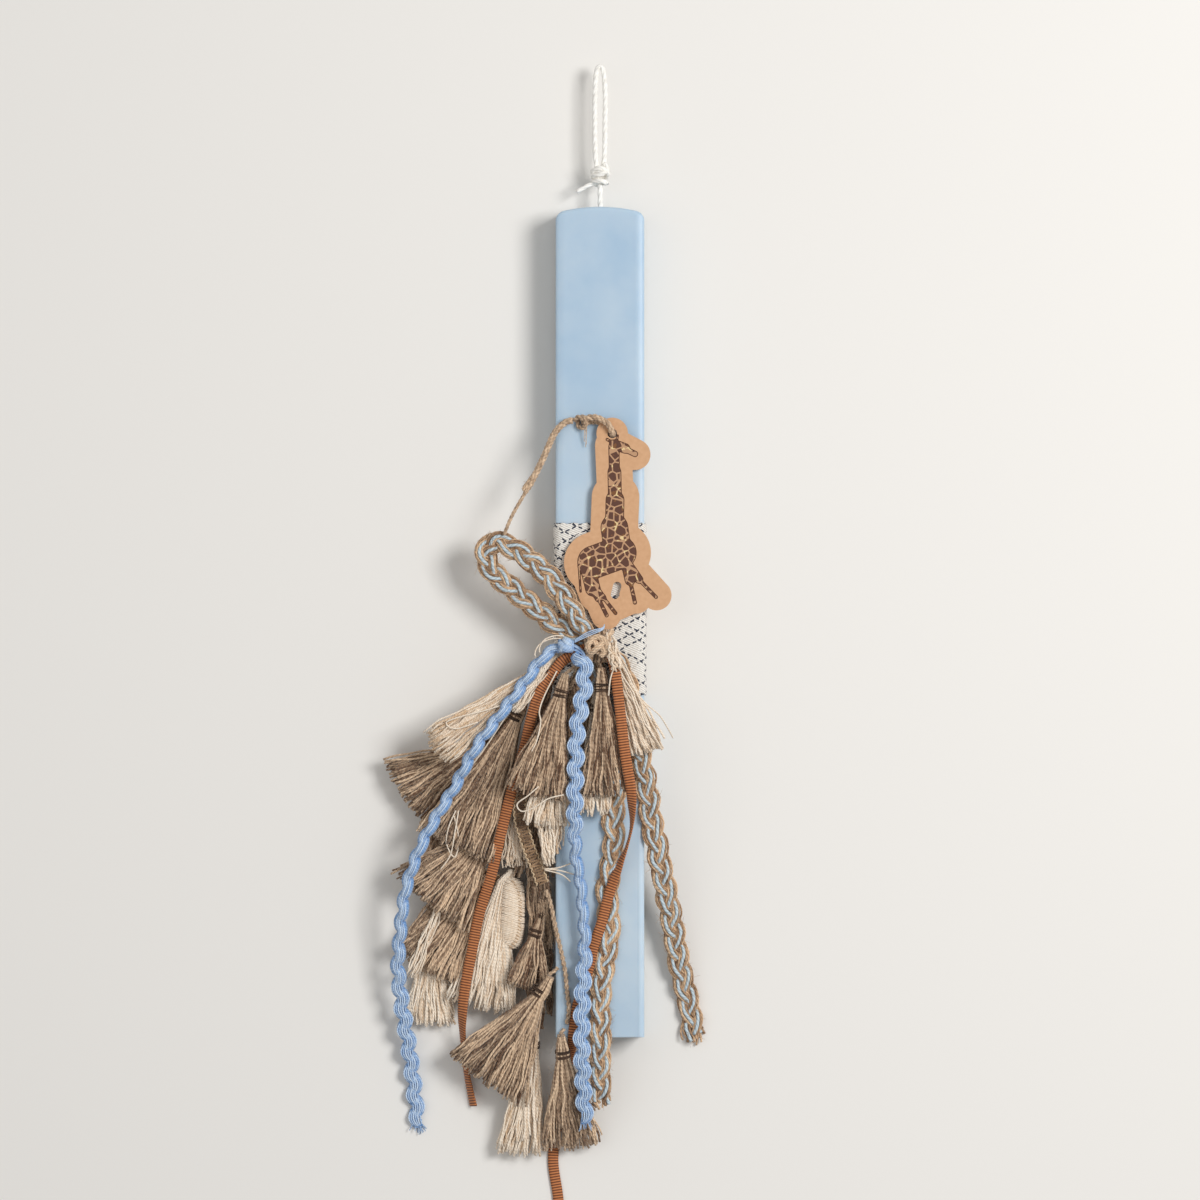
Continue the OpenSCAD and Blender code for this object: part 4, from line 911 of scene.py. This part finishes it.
tasselSet = {
    "neck": 5.0, "bindFrom": 4.8, "bindTo": 7.8, "turns": (5.1, 5.75, 7.0, 7.6), "turnProud": 0.1,
    "turnRadius": 0.27 * mm, "stray": 0.07, "short": 0.2, "fewest": 70, "most": 240,
    "fibres": {"jute": 70, "cream": 30}, "fuzz": (3.4 * mm, 0.06 * mm, 1.1 * mm, 0.75),
    "spread": (1.2, 1.35, 1.5, 1.4, 1.3, 1.3, 1.4, 1.8, 1.9, 1.9, 1.5, 1.25, 2.2, 1.6, 2.0, 1.35),
    "shift": {3: (0.6, 2.5), 12: (-4.2, -1.5), 15: (0.0, -2.5), 13: (0.5, 2.6), 8: (0.0, -1.5),
              14: (1.5, 3.5), 10: (0.0, -2.2)},
    "shade": {1: -0.12, 2: -0.1, 4: -0.16, 5: -0.24, 11: 0.1, 12: 0.2, 13: -0.15, 14: -0.08},
    "table": [
        ((-15.5, -13.5, 19.2), -54, 0, 56, 6.5, 3.2, "cream", (-6.1, -8.5)),
        ((-39.5, -42, 5.8), -56.5, 0, 39, 11, 3.6, "jute", None),
        ((-27.6, -28.5, 13.8), -26, 0, 60, 10, 3.6, "jute", None),
        ((-12.6, -19.4, 25.4), -14, 0, 45, 8.5, 2.6, "jute", (-4.5, -11.7)),
        ((0.5, -17.2, 25.4), 2.5, 0, 46, 7, 2.6, "jute", (-0.5, -13.2)),
        ((4.8, -14, 21.6), 22, 0, 36, 5.8, 2.6, "cream", (2.8, -11.8)),
        ((-0.8, -24.5, 21.6), -2.5, 0, 46, 4.5, 2.6, "cream", (-0.8, -13.3)),
        ((-14, -29, 21.6), -4.5, 0, 46, 5, 2.6, "cream", (-3.8, -12.4)),
        ((-35, -70, 9.8), -41, 0, 43, 9, 3.6, "jute", None),
        ((-41, -91, 5.8), -31.5, 0, 42.5, 8, 3.6, "jute", None),
        ((-61.3, -106.7, 1.8), -1, 0, 40.5, 6.5, 3.6, "cream", None),
        ((-30, -91, 5.8), -13.5, 0, 52, 10, 3.6, "cream", None),
        ((-21.4, -106.5, 9.8), -17, 0, 27.5, 4.5, 3.6, "jute", None),
        ((-18.6, -127.8, 18.4), -36, 12, 46.5, 10.5, 3.6, "jute", (-15.2, -124.8)),
        ((-24, -146.5, 8.6), -4, 7, 48, 4.5, 3.6, "cream", None),
        ((-14, -149.2, 18.7), 5, 21, 45, 8, 3.6, "jute", (-13, -146.8))]}
# The tassel with a rolled head in place of a binding: cream cotton wound thick, and stitched along
rollSet = {"tassel": 12, "neck": 8.6, "gathered": 6.0, "turns": tuple(2.2 + 0.62 * k for k in range(40)),
           "turnProud": 0.8, "turnRadius": 0.4 * mm, "lean": 0.2, "stitches": 22, "stitchRadius": 0.22 * mm}


def tasselFrame(row):
    heading = math.radians(row[1])
    fall = math.radians(row[2])
    level = np.array([math.sin(heading), -math.cos(heading), 0.0])
    lateral = np.array([math.cos(heading), math.sin(heading), 0.0])
    along = level * math.cos(fall) - np.array([0, 0, math.sin(fall)])
    up = np.array([0, 0, math.cos(fall)]) + level * math.sin(fall)
    return np.array(row[0]) * mm, lateral, along, up


# Strands gather in locks towards the tip; a few stray, and some are cut short
def skirtLines(number, row, inSpace):
    length, tip, thick, yarn = row[3:7]
    spread = tip * tasselSet["spread"][number - 1]
    neckShift, tipShift = tasselSet["shift"].get(number, (0.0, 0.0))
    gathered = rollSet["gathered"] if number == rollSet["tassel"] else tasselSet["bindTo"]
    count = min(max(int(2 * spread * thick / 0.5), tasselSet["fewest"]), tasselSet["most"])
    locks = [jitter(1) for _ in range(max(7, count // 10))]
    lines = []
    for _ in range(count):
        side = jitter(1)
        depth = rng.random()
        stray = rng.random() < tasselSet["stray"]
        nearest = min(locks, key=lambda lock: abs(lock - side))
        tipAt = side + jitter(0.55) if stray else side + 0.6 * (nearest - side) + jitter(0.1)
        reach = length * (1 - 0.07 * rng.random()) - 4 * side * side * rng.random()
        reach -= 11 * rng.random() if rng.random() < tasselSet["short"] else 0
        y = np.concatenate([np.linspace(-0.8, gathered, 6), np.linspace(gathered + 1.5, reach, 13)])
        free = np.clip((y - gathered) / (length - gathered), 0, 1)
        head = np.clip((y + 1.4) / (tasselSet["bindFrom"] + 1.4), 0.25, 1) ** 0.5
        tipSide = max(min(tipAt, 1.12), -1.12) * spread + tipShift
        x = (side * (tasselSet["neck"] / 2 - 0.45) + neckShift) * head * (1 - free) + tipSide * free
        x += wander(y, 0.6, 27) * np.clip(free * 2, 0, 1)
        z = 0.45 + depth * (thick - 0.9) + wander(y, 0.3, 24) * np.clip(free * 3, 0, 1)
        z += free * (depth * 0.4 + 0.3 * stray)
        pale = stray or rng.random() < (0.2 + 0.35 * depth if yarn == "jute" else 0.65)
        tone = (0.85 if pale else 0.3) + jitter(0.2) + tasselSet["shade"].get(number, 0.0)
        lines.append(strand(inSpace(x, y, z), (0.29 + 0.13 * rng.random()) * mm, tone))
    return lines + fuzz(lines, tasselSet["fibres"][yarn], *tasselSet["fuzz"])


# Turns of thread round a neck, or of cotton round the rolled head
def turnLines(settings, thick, rolled, inSpace, along):
    turns = settings["turns"]
    angle = np.linspace(0, turn, 25)
    wide = np.sign(np.cos(angle)) * np.abs(np.cos(angle)) ** 0.8
    high = np.sign(np.sin(angle)) * np.abs(np.sin(angle)) ** 0.8
    lines = []
    for y in turns:
        lean = jitter(0.25)
        part = (y - turns[0]) / (turns[-1] - turns[0])
        plump = (1 - abs(2 * part - 1) ** 3.5) ** 0.5 * 0.55 + 0.45 if rolled else 1.0
        x = (settings["neck"] / 2 + 0.05) * plump * wide + (rollSet["lean"] * (y - 6) if rolled else 0.0)
        z = thick / 2 + (thick / 2 + settings["turnProud"]) * plump * high
        tone = 0.7 + jitter(0.1) if rolled else 0.35 + jitter(0.25)
        lines.append(strand(inSpace(x, y + lean * np.cos(angle), z), settings["turnRadius"], tone,
                            ref=tuple(along)))
    return lines


def stitchesOnRoll(thick, inSpace):
    lines = []
    u = np.linspace(0, 1, 6)
    last = rollSet["stitches"] - 1
    for k in range(rollSet["stitches"]):
        y = 3.0 + k * 1.1
        x = rollSet["neck"] / 2 - 2.0 + 1.9 * u + rollSet["lean"] * (y - 6) - 3.0 * (2 * k / last - 1) ** 4
        points = inSpace(x, y + 0.9 * u, thick + 1.0 - 1.8 * u ** 2)
        lines.append(strand(points, rollSet["stitchRadius"], 0.0))
    return lines


def tassel(number, row):
    name = "tassel_%02d" % number
    origin, lateral, along, up = tasselFrame(row)
    thick, yarn = row[5:7]

    def inSpace(x, y, z):
        return origin + (lateral * x[:, None] + along * y[:, None] + up * z[:, None]) * mm

    dress(name + "_skirt", skirtLines(number, row, inSpace), *yarns[yarn], name)
    if number == rollSet["tassel"]:
        lines = turnLines(rollSet, thick, True, inSpace, along) + stitchesOnRoll(thick, inSpace)
        dress(name + "_rolled_head", lines, *yarns["cream"], name)
    else:
        lines = turnLines(tasselSet, thick, False, inSpace, along)
        dress(name + "_binding", lines, bindThread, "dark_thread", name)


for number, row in enumerate(tasselSet["table"], 1):
    tassel(number, row)
print("stage: tassels made")

# Hangers that run from the tie to a tassel's head loop, and the stitches that hold the others

hangerSet = {"plies": (2, 0.42 * mm, 0.35 * mm, 3.5 * mm, 0.55), "below": 0.7 * mm,
             "stitchLeans": (-0.35, 0.35), "stitchRadius": 0.25 * mm,
             "stitchProud": 0.2 * mm, "stitchHalf": 0.9 * mm}
hangerLines = []
stitchLines = []
angle = np.linspace(0, turn, 17)
for row in tasselSet["table"]:
    origin, lateral, along, up = tasselFrame(row)
    thick = row[5] * mm
    if row[7]:
        start = np.array([row[7][0] * mm, row[7][1] * mm, origin[2] - hangerSet["below"]])
        below = origin - up * hangerSet["below"]
        route = [start, start * 0.5 + below * 0.5, below - along * 0.8 * mm,
                 origin + up * thick * 0.4 + along * 0.3 * mm, origin + up * thick * 0.9]
        hangerLines += plyLines(*walk(route, 0.5 * mm), *hangerSet["plies"])
    else:
        for lean in hangerSet["stitchLeans"]:
            middle = origin + up * thick / 2 + lateral * lean * mm
            ring = beside(middle, up, (thick / 2 + hangerSet["stitchProud"]) * np.sin(angle),
                          along, -hangerSet["stitchHalf"] * np.cos(angle))
            stitchLines.append(strand(ring, hangerSet["stitchRadius"], 0.4, ref=tuple(lateral)))
dress("tassel_hangers", hangerLines, juteYarn, "jute")
dress("tassel_stitches", stitchLines, bindThread, "dark_thread")
print("stage: hangers made")

# Loose cream threads that have come out of the trims

looseRoutes = [
    [(-14, -6, 23), (-17.3, -6, 24), (-21.7, -8, 24), (-23.4, -12, 23.4), (-20.5, -15.5, 23)],
    [(-13, -5, 23), (-16.6, -5, 24.6), (-20.2, -6.6, 24.8), (-21.8, -10.4, 24), (-19, -14.5, 23.4)],
    [(-30, -28, 23), (-40, -31.4, 23.6), (-50, -34, 23.6), (-55.4, -36.2, 23), (-52, -38.4, 23),
     (-44, -36, 23.4)],
    [(12, -24, 23.4), (16.6, -29.4, 23), (21.4, -33.6, 20), (24.6, -38.6, 14), (26.4, -42, 9)],
    [(-13, -62, 28.6), (-18.6, -63.4, 28.8), (-23.4, -66.4, 28.4), (-28, -68, 27.6),
     (-29.8, -65.4, 27.4), (-26, -62.4, 28.6), (-22, -59, 28.8)],
    [(-20, -89, 19), (-15, -88.6, 19.4), (-9, -86.4, 20)],
    [(-20, -89, 19), (-14.6, -89.6, 19.4), (-9.4, -91, 20)],
    [(-20, -89.4, 19), (-14, -91, 19.4), (-10.6, -93.6, 20)],
    [(-52, -68, 18.4), (-54.6, -74, 18), (-55.4, -80, 16), (-52.6, -85, 15), (-51, -79, 16),
     (-52.6, -70, 18.2)],
    [(-51, -68, 18.4), (-52.4, -76, 17.8), (-54, -84, 15.4), (-57.6, -89.4, 14.6)],
    [(-15.5, -17.6, 25), (-19.9, -26.3, 26), (-21.8, -32.1, 27), (-21.3, -36, 28.2),
     (-22.8, -42.8, 28.4), (-25.2, -47.6, 27.6)],
    [(5.8, -14.3, 29.8), (3.8, -20.1, 29.6), (3.1, -26.4, 28.8)],
    [(-31, -29.5, 22.6), (-39.7, -42.8, 20.5), (-46, -51.5, 19.5)]]
# Strands that have slipped from the trims and fill the pile: count, where they start, half width there,
# where they end, half width there, height, tone, yarn and the body they move with
strandSets = [
    (44, (-30.6, -62), 2.4, (-31, -89), 3.6, 13.2, 0.6, "cream", "candle"),
    (70, (-19, -40), 4.0, (-24.5, -93), 6.5, 11.0, 0.42, "jute", "candle"),
    (60, (-23, -86), 3.5, (-20.8, -119), 4.4, 9.5, 0.45, "jute", "candle"),
    (45, (-20.6, -112), 3.0, (-21.6, -143), 3.8, 7.5, 0.3, "jute", "candle"),
    (26, (-15, -52), 3.0, (-17.5, -84), 3.4, 19.0, 0.8, "jute", "candle"),
    (14, (-14, -56), 2.4, (-15.5, -83), 3.0, 19.8, 0.8, "cream", "candle"),
    (26, (-20.2, -64), 3.4, (-18.2, -88), 1.4, 20.3, 0.75, "cream", "candle"),
    (50, (-17.6, -15), 1.6, (-25, -50), 3.2, 15.0, 0.35, "jute", "candle"),
    (50, (-7.5, -22), 4.0, (-9.5, -52), 5.5, 19.2, 0.3, "jute", "candle"),
    (18, (3.6, -6.5), 1.5, (6.4, -18), 1.7, 29.8, 0.55, "cream", "candle"),
    (34, (-18, -14), 1.2, (-31.5, -33), 2.0, 22.3, 0.7, "cream", "tassel_01"),
    (30, (4, -10), 1.2, (18, -46), 4.6, 24.4, 0.75, "cream", "tassel_06"),
    (44, (-54.6, -70), 2.4, (-69, -98), 2.6, 10.4, 0.4, "jute", "tassel_09"),
    (44, (-52, -92), 2.6, (-69, -116), 3.2, 8.0, 0.35, "jute", "tassel_10"),
    (18, (-57.5, -100), 1.5, (-69, -130), 2.6, 9.6, 0.7, "cream", "tassel_10")]
slipped = {}
for count, start, startHalf, end, endHalf, height, tone, yarn, body in strandSets:
    for _ in range(count):
        side = jitter(1)
        u = np.linspace(0, 1 - 0.18 * rng.random(), 12)
        tipX = end[0] + (side + jitter(0.25)) * endHalf
        x = (start[0] + side * startHalf) * (1 - u) + tipX * u + wander(u * 50, 0.5, 26)
        y = (start[1] + jitter(3)) * (1 - u) + end[1] * u
        z = height + jitter(1.0) + wander(u * 50, 0.3, 24)
        points = np.stack([x, y, z], axis=1) * mm
        one = strand(points, (0.28 + 0.1 * rng.random()) * mm, tone + jitter(0.25))
        slipped.setdefault((body, yarn), []).append(one)
slipped["candle", "cream"] += [strand(smooth(route, 0.7 * mm), 0.26 * mm, 0.85) for route in looseRoutes]
for (body, yarn), lines in slipped.items():
    material, slotName = yarns[yarn]
    place(makeTubes("%s_slipped_%s" % (body, yarn), lines, material), body, slotName)
print("stage: loose threads made")

# Floor and lights: a plain pale floor, a soft key from the right and a weak fill

floorSet = {"size": 6.0, "colour": "#e9e6e1"}
bpy.ops.mesh.primitive_plane_add(size=floorSet["size"])
floor = bpy.context.object
floor.name = "floor"
# Smooth pale paint without a shine
floorPaint, tree, shader = newMaterial("pale matte floor", 0.9, Specular_IOR_Level=0.1)
shader.inputs["Base Color"].default_value = toLinear(floorSet["colour"])
floor.data.materials.append(floorPaint)


# An area light that looks at the middle of the candle
def areaLight(name, spot, size, power):
    data = bpy.data.lights.new(name, "AREA")
    data.size = size
    data.energy = power
    lamp = bpy.data.objects.new(name, data)
    bpy.context.collection.objects.link(lamp)
    lamp.location = spot
    x, y, z = spot
    lamp.rotation_euler = (math.atan2(math.hypot(x, y), z), 0, math.atan2(-y, -x) - math.pi / 2)


areaLight("key", (0.85, 0.35, 1.25), 0.55, 16.5)
areaLight("fill", (-0.9, 0.2, 1.3), 1.4, 3.2)
world = bpy.data.worlds.new("studio")
bpy.context.scene.world = world
world.use_nodes = True
sky = world.node_tree.nodes["Background"]
sky.inputs["Color"].default_value = (1, 1, 1, 1)
sky.inputs["Strength"].default_value = 0.4
bpy.context.scene.view_settings.view_transform = "Standard"

print("stage: scene ready")
